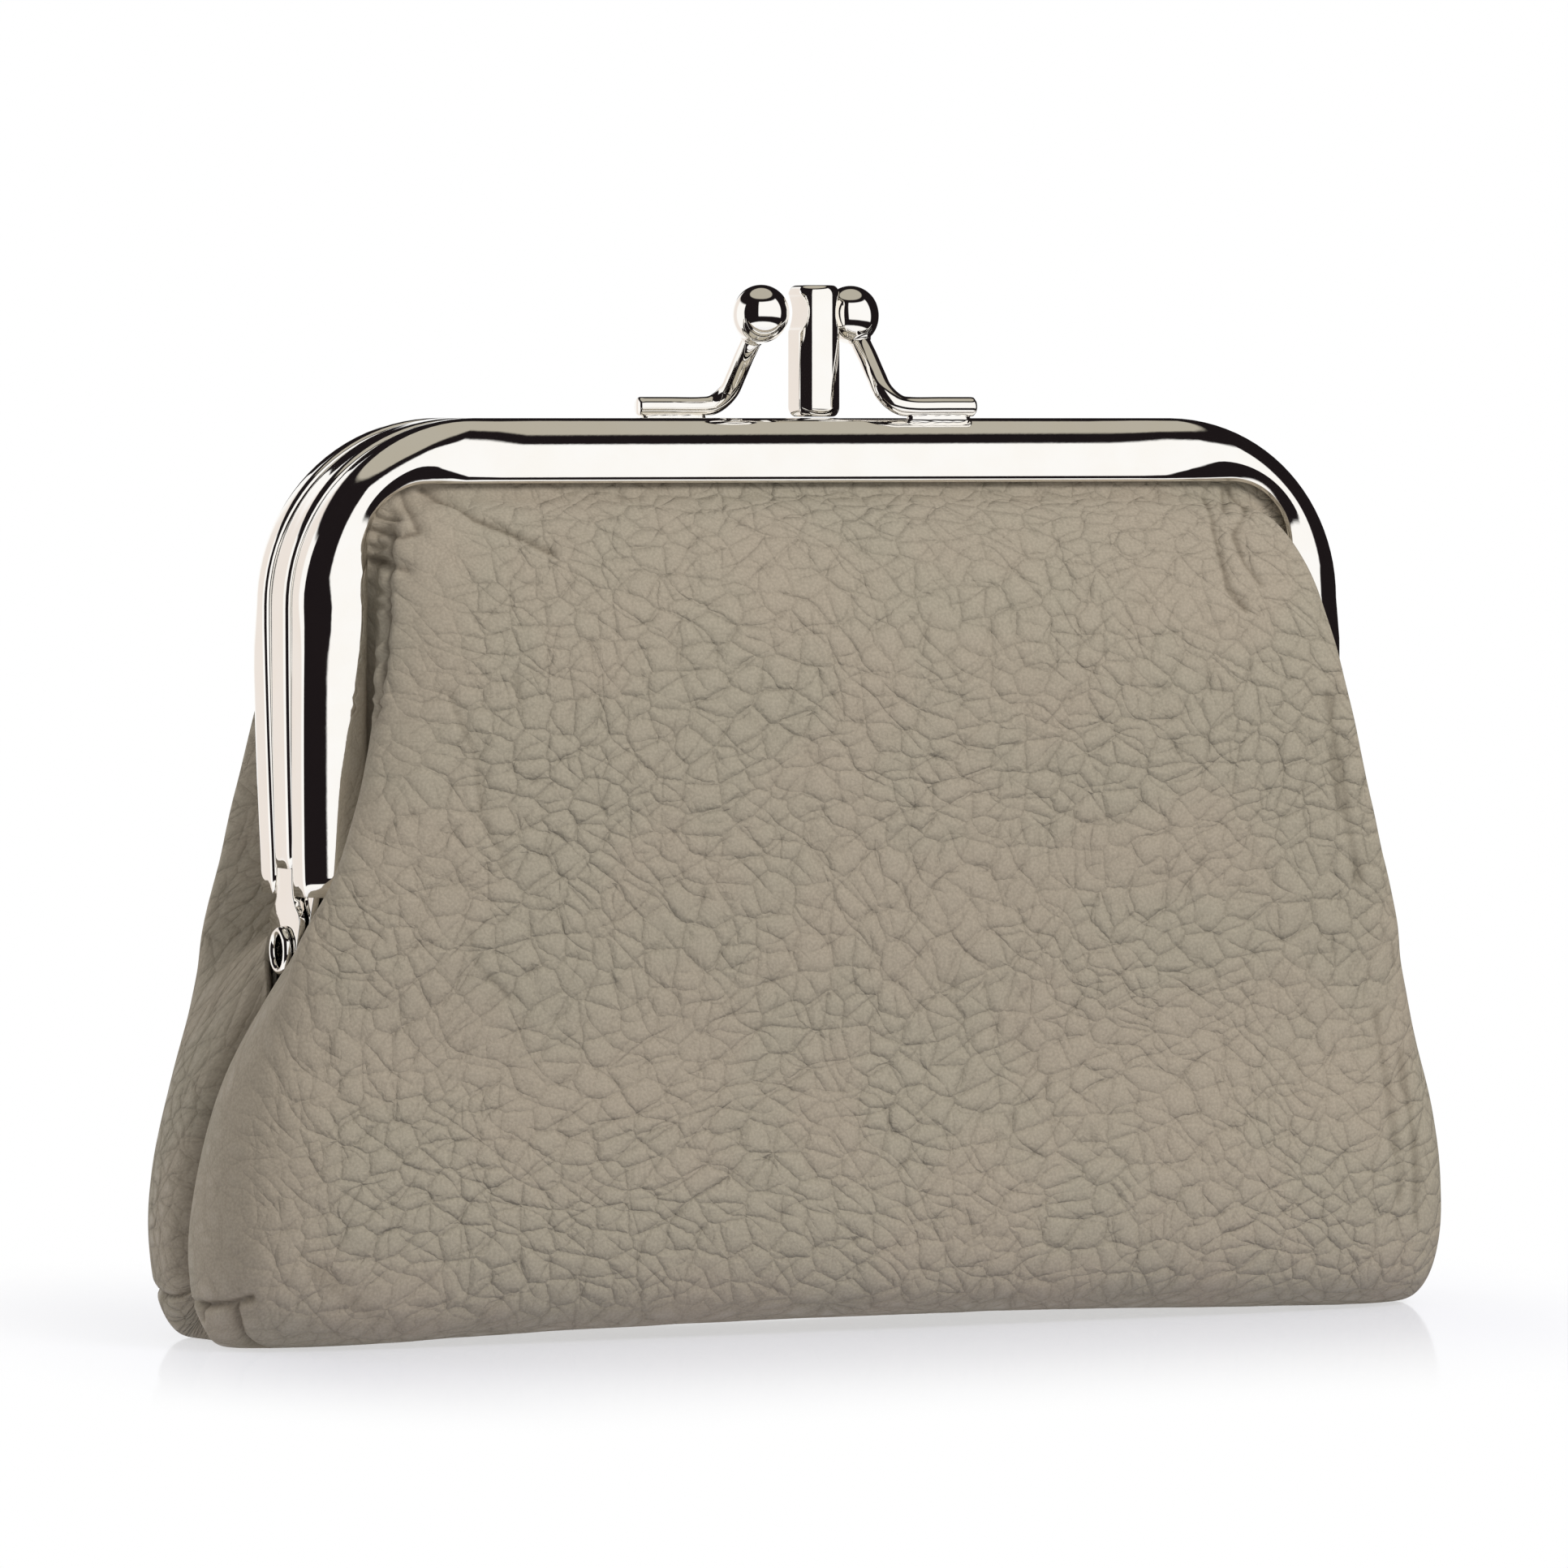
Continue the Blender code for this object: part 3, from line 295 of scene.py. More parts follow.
# The leather's grain on its map, with its families of long creases as (creases per unit of the map,
# noise where they start to show)
PEBBLE_SCALE = 50.0
PEBBLE_STRETCH = (0.93, 1.1, 1.0)
CREASE_FAMILIES = (((-23.0, 38.0, 0.0), 0.25), ((29.0, 34.0, 0.0), 0.25), ((42.0, 4.0, 0.0), 0.4))
CREASE_FADE = 0.42
WRINKLE_SCALE = 150.0
PORE_SCALE = 500.0
PATCH_SCALE = 9.0
GRAIN_HEIGHT = 0.17 * MM
# Dark colour of the grain's lines, also used for the painted shade in the creases and seam valleys
LINE_AND_SHADE_COLOUR = (0.3, 0.27, 0.23, 1.0)

# The floor in mm, then the half sizes in metres of the box outside which it fades away, how fast it does
# so per metre, and how clear it is inside the box
FLOOR_HEIGHT = -0.02
FLOOR_RADII = (60.0, 120.0, 240.0, 420.0)
FLOOR_BOX = (0.05, 0.012, 0.0)
FLOOR_FADE = (28.0, 14.0, 0.0)
FLOOR_CLEAR = 0.55

# The studio's colours
STUDIO_DARK = (0.012, 0.009, 0.01, 1.0)
STUDIO_CEILING = (0.47, 0.44, 0.37, 1.0)
STUDIO_WARM = (0.86, 0.8, 0.76, 1.0)

# The camera that was fitted to the photograph, in pixels, metres and degrees
PHOTO_WIDTH = 1932
FOCAL_LENGTH = 11480
CAMERA_DISTANCE = 0.83
CAMERA_HEIGHT = 0.0804
CAMERA_AZIMUTH = -23
CAMERA_DOWN = 2.25
CAMERA_ASIDE = 0.135

B_SPLINE = np.array(((1, 4, 1, 0), (-3, 0, 3, 0), (3, -6, 3, 0), (-1, 3, -3, 1))) / 6
CATMULL_ROM = np.array(((0, 2, 0, 0), (-1, 0, 1, 0), (2, -5, 4, -1), (-1, 3, -3, 1))) / 2


def spline_weights(count, values, basis=B_SPLINE):
    """Weights of the control points at each value, from 0 to count - 1, on a curve that meets both ends."""
    values = np.clip(values, 0.0, count - 1 - 1e-9)
    start = values.astype(int)
    t = values - start
    share = np.stack([t ** 0, t, t ** 2, t ** 3], axis=1) @ basis
    weights = np.zeros((len(values), count + 2))
    for step in range(4):
        weights[np.arange(len(values)), start + step] += share[:, step]
    inner = weights[:, 1:-1].copy()
    inner[:, 0] += 2 * weights[:, 0]
    inner[:, 1] -= weights[:, 0]
    inner[:, -1] += 2 * weights[:, -1]
    inner[:, -2] -= weights[:, -1]
    return inner


def lengths_along(points):
    """Running length of a line of points."""
    steps = np.linalg.norm(np.diff(points, axis=0), axis=1)
    return np.concatenate([[0.0], np.cumsum(steps)])


def even_values(line, spacing, basis=B_SPLINE):
    """Values along a spline that are evenly spaced in length."""
    line = np.array(line, float)
    dense = np.linspace(0, len(line) - 1, 40 * (len(line) - 1) + 1)
    lengths = lengths_along(spline_weights(len(line), dense, basis) @ line)
    steps = max(2, round(lengths[-1] / spacing))
    return np.interp(np.linspace(0, lengths[-1], steps + 1), lengths, dense)


def curve_points(line, spacing, basis=CATMULL_ROM):
    """Evenly spaced points on a spline through a line of points."""
    line = np.array(line, float)
    return spline_weights(len(line), even_values(line, spacing, basis), basis) @ line


def grid_faces(rows, columns, wrap_columns=False, wrap_rows=False):
    """Quads of a grid of points, row by row."""
    faces = []
    for row in range(rows if wrap_rows else rows - 1):
        for column in range(columns if wrap_columns else columns - 1):
            after = (column + 1) % columns
            above = (row + 1) % rows
            faces.append((row * columns + column, row * columns + after, above * columns + after,
                          above * columns + column))
    return faces


def mesh_from(name, points, faces):
    """A smooth mesh from points in mm."""
    mesh = bpy.data.meshes.new(name)
    mesh.from_pydata((np.asarray(points, float) * MM).tolist(), [], faces)
    mesh.update()
    mesh.shade_smooth()
    return mesh


def joined(name, meshes, merge=False):
    """One mesh from several, with its faces pointing out and points in the same place merged if asked."""
    work = bmesh.new()
    for part in meshes:
        work.from_mesh(part)
    if merge:
        bmesh.ops.remove_doubles(work, verts=work.verts, dist=MERGE_DISTANCE)
    bmesh.ops.recalc_face_normals(work, faces=work.faces)
    mesh = bpy.data.meshes.new(name)
    work.to_mesh(mesh)
    work.free()
    mesh.shade_smooth()
    return mesh


def linked(name, data):
    """A new object in the scene."""
    made = bpy.data.objects.new(name, data)
    bpy.context.scene.collection.objects.link(made)
    return made


def piece(name, mesh, finish):
    """A new object with its finish."""
    made = linked(name, mesh)
    mesh.materials.clear()
    mesh.materials.append(finish)
    return made


def turned(mesh):
    """A copy of a mesh, turned half round the Z axis."""
    copy = mesh.copy()
    copy.transform(Matrix.Rotation(math.pi, 4, "Z"))
    return copy


def tube_faces(rows, columns):
    """Faces of a tube's grid of points, with both of its ends closed."""
    first = tuple(reversed(range(columns)))
    last = tuple(range((rows - 1) * columns, rows * columns))
    return grid_faces(rows, columns, wrap_columns=True) + [first, last]


def tube(name, line, section):
    """A tube along a line of points in mm. The section gives its outline's (x, y) points at each step."""
    line = np.array(line, float)
    ahead = np.gradient(line, axis=0)
    ahead /= np.linalg.norm(ahead, axis=1)[:, None]
    side = Vector((0.0, 1.0, 0.0))
    points = []
    for step, (spot, way) in enumerate(zip(line, ahead)):
        way = Vector(way)
        side = (side - way * side.dot(way)).normalized()
        up = way.cross(side)
        for across, over in section(step):
            points.append(np.array(spot) + np.array(side) * across + np.array(up) * over)
    return mesh_from(name, points, tube_faces(len(line), len(section(0))))


def lathe(name, profile, place, steps=64):
    """A profile of (radius, along) in mm, turned about the Z axis of the place that a matrix gives."""
    points = []
    for turn in range(steps):
        angle = 2 * math.pi * turn / steps
        for radius, along in profile:
            points.append(place @ Vector((radius * math.cos(angle), radius * math.sin(angle), along)))
    faces = grid_faces(steps, len(profile), wrap_rows=True)
    return joined(name, [mesh_from("lathed", [tuple(point) for point in points], faces)], merge=True)


def flat_plate(name, loops, thickness, bevel, place):
    """A plate with rounded edges from loops of points in mm: its outline, then its holes."""
    curve = bpy.data.curves.new(name, "CURVE")
    curve.dimensions = "2D"
    curve.fill_mode = "BOTH"
    curve.extrude = (thickness / 2 - bevel) * MM
    curve.bevel_depth = bevel * MM
    curve.bevel_resolution = 3
    curve.offset = -bevel * MM
    for loop in loops:
        spline = curve.splines.new("POLY")
        spline.points.add(len(loop) - 1)
        for point, (across, up) in zip(spline.points, loop):
            point.co = (across * MM, up * MM, 0.0, 1.0)
        spline.use_cyclic_u = True
    blank = linked(name, curve)
    blank.matrix_world = place
    bpy.context.view_layer.update()
    mesh = bpy.data.meshes.new_from_object(blank.evaluated_get(bpy.context.evaluated_depsgraph_get()))
    mesh.transform(place)
    bpy.data.objects.remove(blank)
    bpy.data.curves.remove(curve)
    work = bmesh.new()
    work.from_mesh(mesh)
    bmesh.ops.remove_doubles(work, verts=work.verts, dist=MERGE_DISTANCE)
    work.to_mesh(mesh)
    work.free()
    return mesh


def arc(centre, radius, start, end, steps):
    """Points along an arc, with its angles in degrees."""
    angles = [(start + (end - start) * step / steps) * DEGREE for step in range(steps + 1)]
    return [(centre[0] + radius * math.cos(turn), centre[1] + radius * math.sin(turn)) for turn in angles]


def circle(centre, radius, corners):
    """Evenly spaced points round a circle."""
    return arc(centre, radius, 0, 360 - 360 / corners, corners - 1)


def bell(ratio):
    """One where the ratio is zero, and falling off to nothing on both sides."""
    return np.exp(-np.minimum(ratio * ratio, 50.0))


# Bows of the frame


def leg_x(height, inset):
    """Half the frame's width at a height on its leg, which leans in towards the hinge."""
    leg_top = FRAME_TOP - CORNER_RADIUS
    drop = max(0.0, leg_top - height) / (leg_top - HINGE_HEIGHT)
    return FRAME_HALF - inset - LEG_LEAN * drop * drop


def half_path(inset, radius, leg_end):
    """The right half of a bow's path as (x, z), from the top's middle to the leg's end."""
    reach = inset + radius
    middle = (FRAME_HALF - reach, FRAME_TOP - reach)
    top = [(middle[0] * step / 12, FRAME_TOP - inset) for step in range(12)]
    corner = arc(middle, radius, 90, 0, 24)
    heights = np.linspace(middle[1], HINGE_HEIGHT + leg_end, 15)[1:]
    return top + corner + [(leg_x(height, inset), height) for height in heights]


def bow_channel(name, profiles, lip_radius, leg_end, shift):
    """A bow's folded channel, from the paths of its outer edge and its lip, and its top, corner and leg
    profiles. Its upper part stands a little to one side."""
    outer = np.array(half_path(0.0, CORNER_RADIUS, leg_end))
    lip = np.array(half_path(FACE, lip_radius, leg_end))
    mirror = np.array((-1.0, 1.0))
    outer = np.concatenate([outer[:0:-1] * mirror, outer])
    lip = np.concatenate([lip[:0:-1] * mirror, lip])
    values = even_values(profiles[0], 0.2, CATMULL_ROM)
    weights = spline_weights(len(profiles[0]), values, CATMULL_ROM)
    top, corner, leg = (weights @ np.array(profile) for profile in profiles)
    points = []
    for edge, rim in zip(outer, lip):
        beyond = (max(0.0, abs(rim[0]) - TURN_CENTRE[0]), max(0.0, rim[1] - TURN_CENTRE[1]))
        turn = math.atan2(*beyond) / (math.pi / 2)
        start = RIGHT_CORNER_START if rim[0] > 0 else LEFT_CORNER_START
        inside = min((turn - start) / CORNER_FADE_IN, (CORNER_END - turn) / CORNER_FADE_OUT)
        round_share = min(1.0, max(0.0, inside))
        straight = top if turn < LEG_START else leg
        section = straight * (1 - round_share) + corner * round_share
        share = section[:, 0] / FACE
        flat = edge[None, :] * (1 - share[:, None]) + rim[None, :] * share[:, None]
        flat[:, 0] += shift * min(1.0, max(0.0, (edge[1] - SHIFT_START) / SHIFT_RISE))
        points += [(across, depth, up) for (across, up), depth in zip(flat, section[:, 1])]
    return mesh_from(name, points, tube_faces(len(outer), len(section)))


def hinge_tab(side, layer, low_y, high_y, root_bottom):
    """A tab's leaf with its rivet hole, and the thicker root that joins it to its leg."""
    outer = leg_x(HINGE_HEIGHT + OUTER_LEG_END, TAB_SINK) - layer * TAB_PITCH
    root_top = root_bottom + TAB_ROOT_LENGTH
    lean = math.atan2(-(low_y + high_y) / 2, root_bottom - HINGE_HEIGHT) / DEGREE
    outline = arc((0.0, HINGE_HEIGHT), TAB_RADIUS, 180 + lean, 360 + lean, 40)
    sides = [(high_y, root_bottom), (high_y, root_top), (low_y, root_top), (low_y, root_bottom)]
    if layer == 0:
        outline = arc((0.0, HINGE_HEIGHT), TAB_RADIUS + CENTRE_TAB_EXTRA, 192, 348, 40)
        flare = [(y, HINGE_HEIGHT + z) for y, z in CENTRE_FLARE]
        sides = flare + sides + [(-y, z) for y, z in reversed(flare)]
    outline += sides
    hole = circle((0.0, HINGE_HEIGHT), RIVET_HOLE_RADIUS, 60)
    upright = Matrix.Rotation(math.pi / 2, 4, "Z") @ Matrix.Rotation(math.pi / 2, 4, "X")
    middle = side * (outer - TAB_THICKNESS / 2) * MM
    place = Matrix.Translation((middle, 0.0, 0.0)) @ upright
    leaf = flat_plate("leaf", [outline, hole], TAB_THICKNESS, TAB_BEVEL, place)
    if layer == 0:
        return [leaf]
    depth = layer * TAB_PITCH + TAB_SINK
    low_y += ROOT_INSET
    high_y -= ROOT_INSET
    corners = [(low_y, root_bottom), (high_y, root_bottom), (high_y, root_top), (low_y, root_top)]
    middle = side * (outer - TAB_THICKNESS / 2 + depth / 2) * MM
    place = Matrix.Translation((middle, 0.0, 0.0)) @ upright
    return [leaf, flat_plate("root", [corners], depth, TAB_BEVEL, place)]


def make_bows(metal):
    """The three bows."""
    channel = bow_channel("centre_channel", [CENTRE_PROFILE] * 3, CENTRE_LIP_RADIUS, CENTRE_LEG_END, 0.0)
    root_bottom = HINGE_HEIGHT + CENTRE_LEG_END - CENTRE_ROOT_DROP
    tabs = []
    for side in (-1, 1):
        tabs += hinge_tab(side, 0, -CENTRE_TAB_HALF, CENTRE_TAB_HALF, root_bottom)
    centre = piece("centre_bow", joined("centre_bow", [channel, *tabs]), metal)
    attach(centre, "pouch_base")
    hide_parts("centre_frame")

    profiles = (TOP_PROFILE, CORNER_PROFILE, LEG_PROFILE)
    channel = bow_channel("front_channel", profiles, LIP_CORNER_RADIUS, OUTER_LEG_END, BOW_SHIFT)
    root_bottom = HINGE_HEIGHT + OUTER_LEG_END + OUTER_ROOT_RISE
    tabs = []
    for side, layer in ((-1, 1), (1, 2)):
        tabs += hinge_tab(side, layer, *OUTER_TAB, root_bottom)
    mesh = joined("front_bow_metal", [channel, *tabs])
    front = piece("front_bow_metal", mesh, metal)
    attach(front, "front_bow")
    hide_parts("front_frame")
    rear = piece("rear_bow_metal", turned(mesh), metal)
    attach(rear, "rear_bow")
    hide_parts("rear_frame")


def make_rivets(metal):
    """The hollow eyelets, rolled over at both ends."""
    stack = 2 * TAB_PITCH + TAB_THICKNESS
    half = [(EYELET_BORE, -stack / 2), *EYELET_END, (EYELET_BARREL, -stack / 2)]
    first = curve_points(half, 0.1)
    outer_face = leg_x(HINGE_HEIGHT + OUTER_LEG_END, TAB_SINK)
    for side, end in ((-1, "left"), (1, "right")):
        place = Matrix.Translation((side * outer_face, 0.0, HINGE_HEIGHT))
        place = place @ Matrix.Rotation(side * math.pi / 2, 4, "Y")
        far = [(radius, -stack - along) for radius, along in first]
        meshes = [lathe("flange", first, place), lathe("flange", far, place)]
        made = piece(f"rivet_{end}", joined(f"rivet_{end}", meshes), metal)
        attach(made, "pouch_base")
        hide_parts(f"hinge_rivet_{end}")


# Clasp


def post_ring(height):
    """The clasp post's outline at a height above the bow: a round front, flat sides and back, and a notch
    in each side where the balls pass."""
    end = min(height, POST_HEIGHT - height)
    pinch = 1.0
    if end < POST_END:
        pinch = 1 - POST_PINCH * (1 - math.sqrt(max(0.0, 1 - (1 - end / POST_END) ** 2)))
    reach = math.sqrt(max(0.0, NOTCH_RADIUS ** 2 - (height - NOTCH_HEIGHT) ** 2))
    limit = POST_HALF_X - max(0.0, NOTCH_DEPTH - (NOTCH_RADIUS - reach))
    side = POST_HALF_X - POST_EASE
    front, back = POST_SIDE
    ring = arc((0.0, POST_ROUND_Y), POST_ROUND, 210, 330, 30)
    ring += [(side, y) for y in np.linspace(front, back, 8)]
    ring += arc((side - POST_CORNER, POST_CORNER_Y), POST_CORNER, 0, 90, 6)
    ring += arc((POST_CORNER - side, POST_CORNER_Y), POST_CORNER, 90, 180, 6)
    ring += [(-side, y) for y in np.linspace(back, front, 8)]
    return [(POST_CENTRE_X + max(-limit, min(limit, x * pinch)), y * pinch, POST_FOOT + height)
            for x, y in ring]


def make_post(metal):
    """The clasp post."""
    heights = [POST_END * (1 - math.cos(step / 10 * math.pi / 2)) for step in range(11)]
    heights += list(np.linspace(POST_END, POST_HEIGHT - POST_END, 60)[1:])
    heights += [POST_HEIGHT - height for height in reversed(heights[:10])]
    rings = [post_ring(height) for height in heights]
    points = [point for ring in rings for point in ring]
    mesh = joined("post", [mesh_from("post", points, tube_faces(len(rings), len(rings[0])))])
    made = piece("clasp_post_metal", mesh, metal)
    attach(made, "pouch_base")
    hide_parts("clasp_post")


def make_arms_and_balls(metal):
    """Both clasp arms and their balls."""
    line = curve_points(ARM_ROUTE, 0.18)
    ends = lengths_along(line)

    def section(step):
        near = min(ends[step], ARM_END)
        radius = ARM_RADIUS - ARM_EASE * (1 - math.sqrt(max(0.0, 1 - (1 - near / ARM_END) ** 2)))
        return circle((0.0, 0.0), radius, 24)

    solder = np.linspace(*BEAD_SPAN, BEAD_STEPS)
    lumps = [BEAD_UNEVEN * noise.noise(Vector((1.3 * across, 4.0, 2.0))) for across in solder]
    bead = [(across, *BEAD_PLACE) for across in solder]

    def bead_section(step):
        end = min(1.0, min(step, BEAD_STEPS - 1 - step) / BEAD_END_STEPS)
        radius = BEAD_RADIUS * min(1.0, 0.35 + 0.65 * math.sin(end * math.pi / 2)) + lumps[step]
        return circle((0.0, 0.0), radius, 24)

    arm = joined("front_arm", [tube("front_arm", line, section), tube("bead", bead, bead_section)])
    toward = (Vector(ARM_ROUTE[-2]) - Vector(BALL_CENTRE)).normalized()
    profile = arc((0.0, 0.0), BALL_RADIUS, -90, 0, 26)
    profile += [(radius, along * BALL_STRETCH) for radius, along in arc((0.0, 0.0), BALL_RADIUS, 3, 64, 18)]
    profile += BALL_NECK
    place = Matrix.Translation(BALL_CENTRE) @ toward.to_track_quat("Z", "Y").to_matrix().to_4x4()
    ball = lathe("front_ball", [(max(radius, 0.0), along) for radius, along in profile], place)
    for side, change in (("front", lambda mesh: mesh), ("rear", turned)):
        made = piece(f"{side}_arm", change(arm), metal)
        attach(made, f"{side}_bow")
        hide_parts(f"{side}_clasp_arm")
        made = piece(f"{side}_ball", change(ball), metal)
        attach(made, f"{side}_bow")
        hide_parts(f"{side}_clasp_ball")


# Leather, linings, divider and cords


def full_cage():
    """The leather's cage from side to side, as rows of (x, y, z) in mm."""
    rows = []
    for number, half in enumerate(LEATHER_CAGE):
        left = [(-x, -depth, z) for x, depth, z in half]
        for column, (x, depth) in enumerate(LEFT_CHANGES.get(number, ()), 2):
            left[column] = (-x, -depth, half[column][2])
        right = [(x, -depth, z) for x, depth, z in reversed(half[:-1])]
        rows.append(left + right)
    return np.array(rows)


def sheet_grid(spacing):
    """The leather's outer surface as a grid of points, and each point's place on the flat sheet."""
    cage = full_cage()
    across = even_values(cage[5], spacing)
    up = even_values(cage[:, 6], spacing)
    columns = spline_weights(cage.shape[1], across)
    rows = spline_weights(cage.shape[0], up)
    points = np.einsum("ri,cj,ijk->rck", rows, columns, cage)
    middle = points.shape[1] // 2
    steps = np.linalg.norm(np.diff(points, axis=1), axis=2)
    along = np.concatenate([np.zeros((len(points), 1)), np.cumsum(steps, axis=1)], axis=1)
    along -= along[:, middle:middle + 1]
    rise = lengths_along(points[:, middle])[:, None] * np.ones((1, points.shape[1]))
    return points, np.stack([along, rise], axis=2)


def grid_normals(points):
    """Outward unit normals of a grid of points."""
    across = np.gradient(points, axis=1)
    up = np.gradient(points, axis=0)
    normals = np.cross(across, up)
    return normals / np.maximum(np.linalg.norm(normals, axis=2), 1e-9)[:, :, None]


def field(points, size, seed):
    """Smooth noise over a grid of points."""
    flat = points.reshape(-1, 3) / size + seed * 17.3
    values = [noise.noise(Vector(spot)) for spot in flat]
    return np.array(values).reshape(points.shape[:2])


def add_sheet_map(mesh, sheet):
    """A UV map that holds each point's place on the flat sheet."""
    flat = sheet.reshape(-1, 2) / SHEET_SPAN
    flat[:, 0] += 0.5
    layer = mesh.uv_layers.new(name="sheet")
    loops = flat[[loop.vertex_index for loop in mesh.loops]]
    layer.data.foreach_set("uv", loops.astype(np.float32).ravel())


def line_distance(spots, line):
    """Distance of each spot on the sheet from a line of points."""
    nearest = np.full(spots.shape[:2], 1e9)
    for first, second in zip(line, line[1:]):
        first, second = np.array(first), np.array(second)
        way = second - first
        share = np.clip(((spots - first) @ way) / (way @ way), 0.0, 1.0)
        gap = np.linalg.norm(spots - first - share[:, :, None] * way, axis=2)
        nearest = np.minimum(nearest, gap)
    return nearest


def seam_valley(base, sheet):
    """Share of the valley that the side seams draw into the leather, below the hinges."""
    gap = np.minimum(sheet[:, :, 0] - sheet[:, :1, 0], sheet[:, -1:, 0] - sheet[:, :, 0])
    height = base[:, :, 2]
    lower = np.clip((SEAM_TOP - height) / SEAM_TOP_FADE, 0.0, 1.0) * np.clip(height / 4.0 - 0.5, 0.0, 1.0)
    return lower * bell(gap / SEAM_WIDTH)


def make_leather(leather):
    """The front and the rear leather, each one sheet from the bottom seam to its bow."""
    base, sheet = sheet_grid(LEATHER_SPACING)
    normals = grid_normals(base)
    for side, seed, creases in (("front", 1, FRONT_CREASES), ("rear", 2, REAR_CREASES)):
        lift = WAVE_HEIGHT * field(base, WAVE_SIZE, seed)
        lift += DIMPLE_HEIGHT * field(base, DIMPLE_SIZE, seed + 2)
        lift *= np.clip((base[:, :, 1] + SEAT_DEPTH) / -SEAT_FADE, 0.0, 1.0)
        wobble = WOBBLE * field(base, WOBBLE_SIZE, seed + 4)
        # Painted shade along each crease, stronger for deeper ones; the material darkens the leather's
        # colour by it
        crease_shade = np.zeros(base.shape[:2])
        for depth, width, line in creases:
            gap = (line_distance(sheet, line) + wobble * min(width, 1.0)) / width
            lift -= depth * bell(gap)
            crease_shade = np.maximum(crease_shade, min(1.0, 3 * depth) * bell(2 * gap))
        grain = np.ones(base.shape[:2])
        if side == "front":
            side_gap = sheet[:, :, 0] - sheet[:, :1, 0]
            grain = np.clip((side_gap - GRAIN_START + 8 * wobble) / GRAIN_FADE, GRAIN_LEAST, 1.0)
            gap = line_distance(sheet, PLEAT_LINE)
            ripple = np.cos(2 * math.pi * base[:, :, 2] / PLEAT_PITCH + 13 * wobble + base[:, :, 1])
            lift += PLEAT_HEIGHT * ripple * bell(gap / math.sqrt(PLEAT_SPREAD))
        valley = seam_valley(base, sheet)
        lift -= SEAM_DEPTH * valley
        # Painted shade in the side seams' valleys as well
        crease_shade = np.maximum(crease_shade, 0.9 * valley ** 2)
        points = base + normals * lift[:, :, None]
        faces = grid_faces(*points.shape[:2])
        mesh = mesh_from(f"{side}_leather", points.reshape(-1, 3), faces)
        add_sheet_map(mesh, sheet)
        for name, values in (("grain", grain), ("crease_shade", crease_shade)):
            mesh.attributes.new(name, "FLOAT", "POINT").data.foreach_set("value", values.ravel())
        if side == "rear":
            mesh = turned(mesh)
        made = piece(f"{side}_leather", mesh, leather)
        solid = made.modifiers.new("thickness", "SOLIDIFY")
        solid.thickness = LEATHER_THICKNESS * MM
        solid.offset = -1.0
        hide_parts(f"{side}_leather_lower", f"{side}_leather_fold", f"{side}_leather_upper")
        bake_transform(made)


def make_linings(lining):
    """The linings, which follow the leather from the inside."""
    base, sheet = sheet_grid(LINING_SPACING)
    normals = grid_normals(base)
    points = base - normals * (LINING_OFFSET + SEAM_DEPTH * seam_valley(base, sheet))[:, :, None]
    points[:, :, 1] = np.minimum(points[:, :, 1], LINING_LIMIT)
    faces = grid_faces(*points.shape[:2])
    mesh = mesh_from("front_lining", points.reshape(-1, 3), faces)
    add_sheet_map(mesh, sheet)
    for side, change in (("front", lambda mesh: mesh), ("rear", turned)):
        made = piece(f"{side}_lining", change(mesh), lining)
        solid = made.modifiers.new("thickness", "SOLIDIFY")
        solid.thickness = LINING_THICKNESS * MM
        solid.offset = -1.0
        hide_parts(f"{side}_lining_lower", f"{side}_lining_upper")
        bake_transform(made)


def make_divider(board):
    """The covered board between the two pockets."""
    right = list(DIVIDER_OUTLINE)
    left = [(-x, z) for x, z in reversed(right[1:-1])]
    place = Matrix.Rotation(math.pi / 2, 4, "X")
    mesh = flat_plate("divider", [right + left], DIVIDER_THICKNESS, DIVIDER_BEVEL, place)
    made = piece("divider_board", mesh, board)
    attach(made, "pouch_base")
    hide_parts("divider")


def cord_section(step):
    """A cord's outline at a step along it, with the three strands twisted."""
    ring = []
    for corner in range(CORD_CORNERS):
        angle = 2 * math.pi * corner / CORD_CORNERS
        radius = CORD_RADIUS + STRAND_HEIGHT * math.cos(3 * (angle - step * STRAND_TWIST))
        ring.append((radius * math.cos(angle), radius * math.sin(angle)))
    return ring


def make_cords(paper):
    """The twisted paper cords in the bows' channels."""
    path = half_path(CORD_INSET, CORNER_RADIUS - CORD_INSET, OUTER_LEG_END + 2 * TAB_ROOT_LENGTH)
    path = [(-x, z) for x, z in reversed(path[1:])] + path
    for name, body, y in (("front_cord", "front_bow", -CORD_DEPTH), ("rear_cord", "rear_bow", CORD_DEPTH),
                          ("centre_cord", "pouch_base", 0.0)):
        line = curve_points([(x, y, z) for x, z in path], CORD_SPACING)
        made = piece(name + "_paper", joined(name, [tube(name, line, cord_section)]), paper)
        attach(made, body)
        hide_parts(name)


# Materials


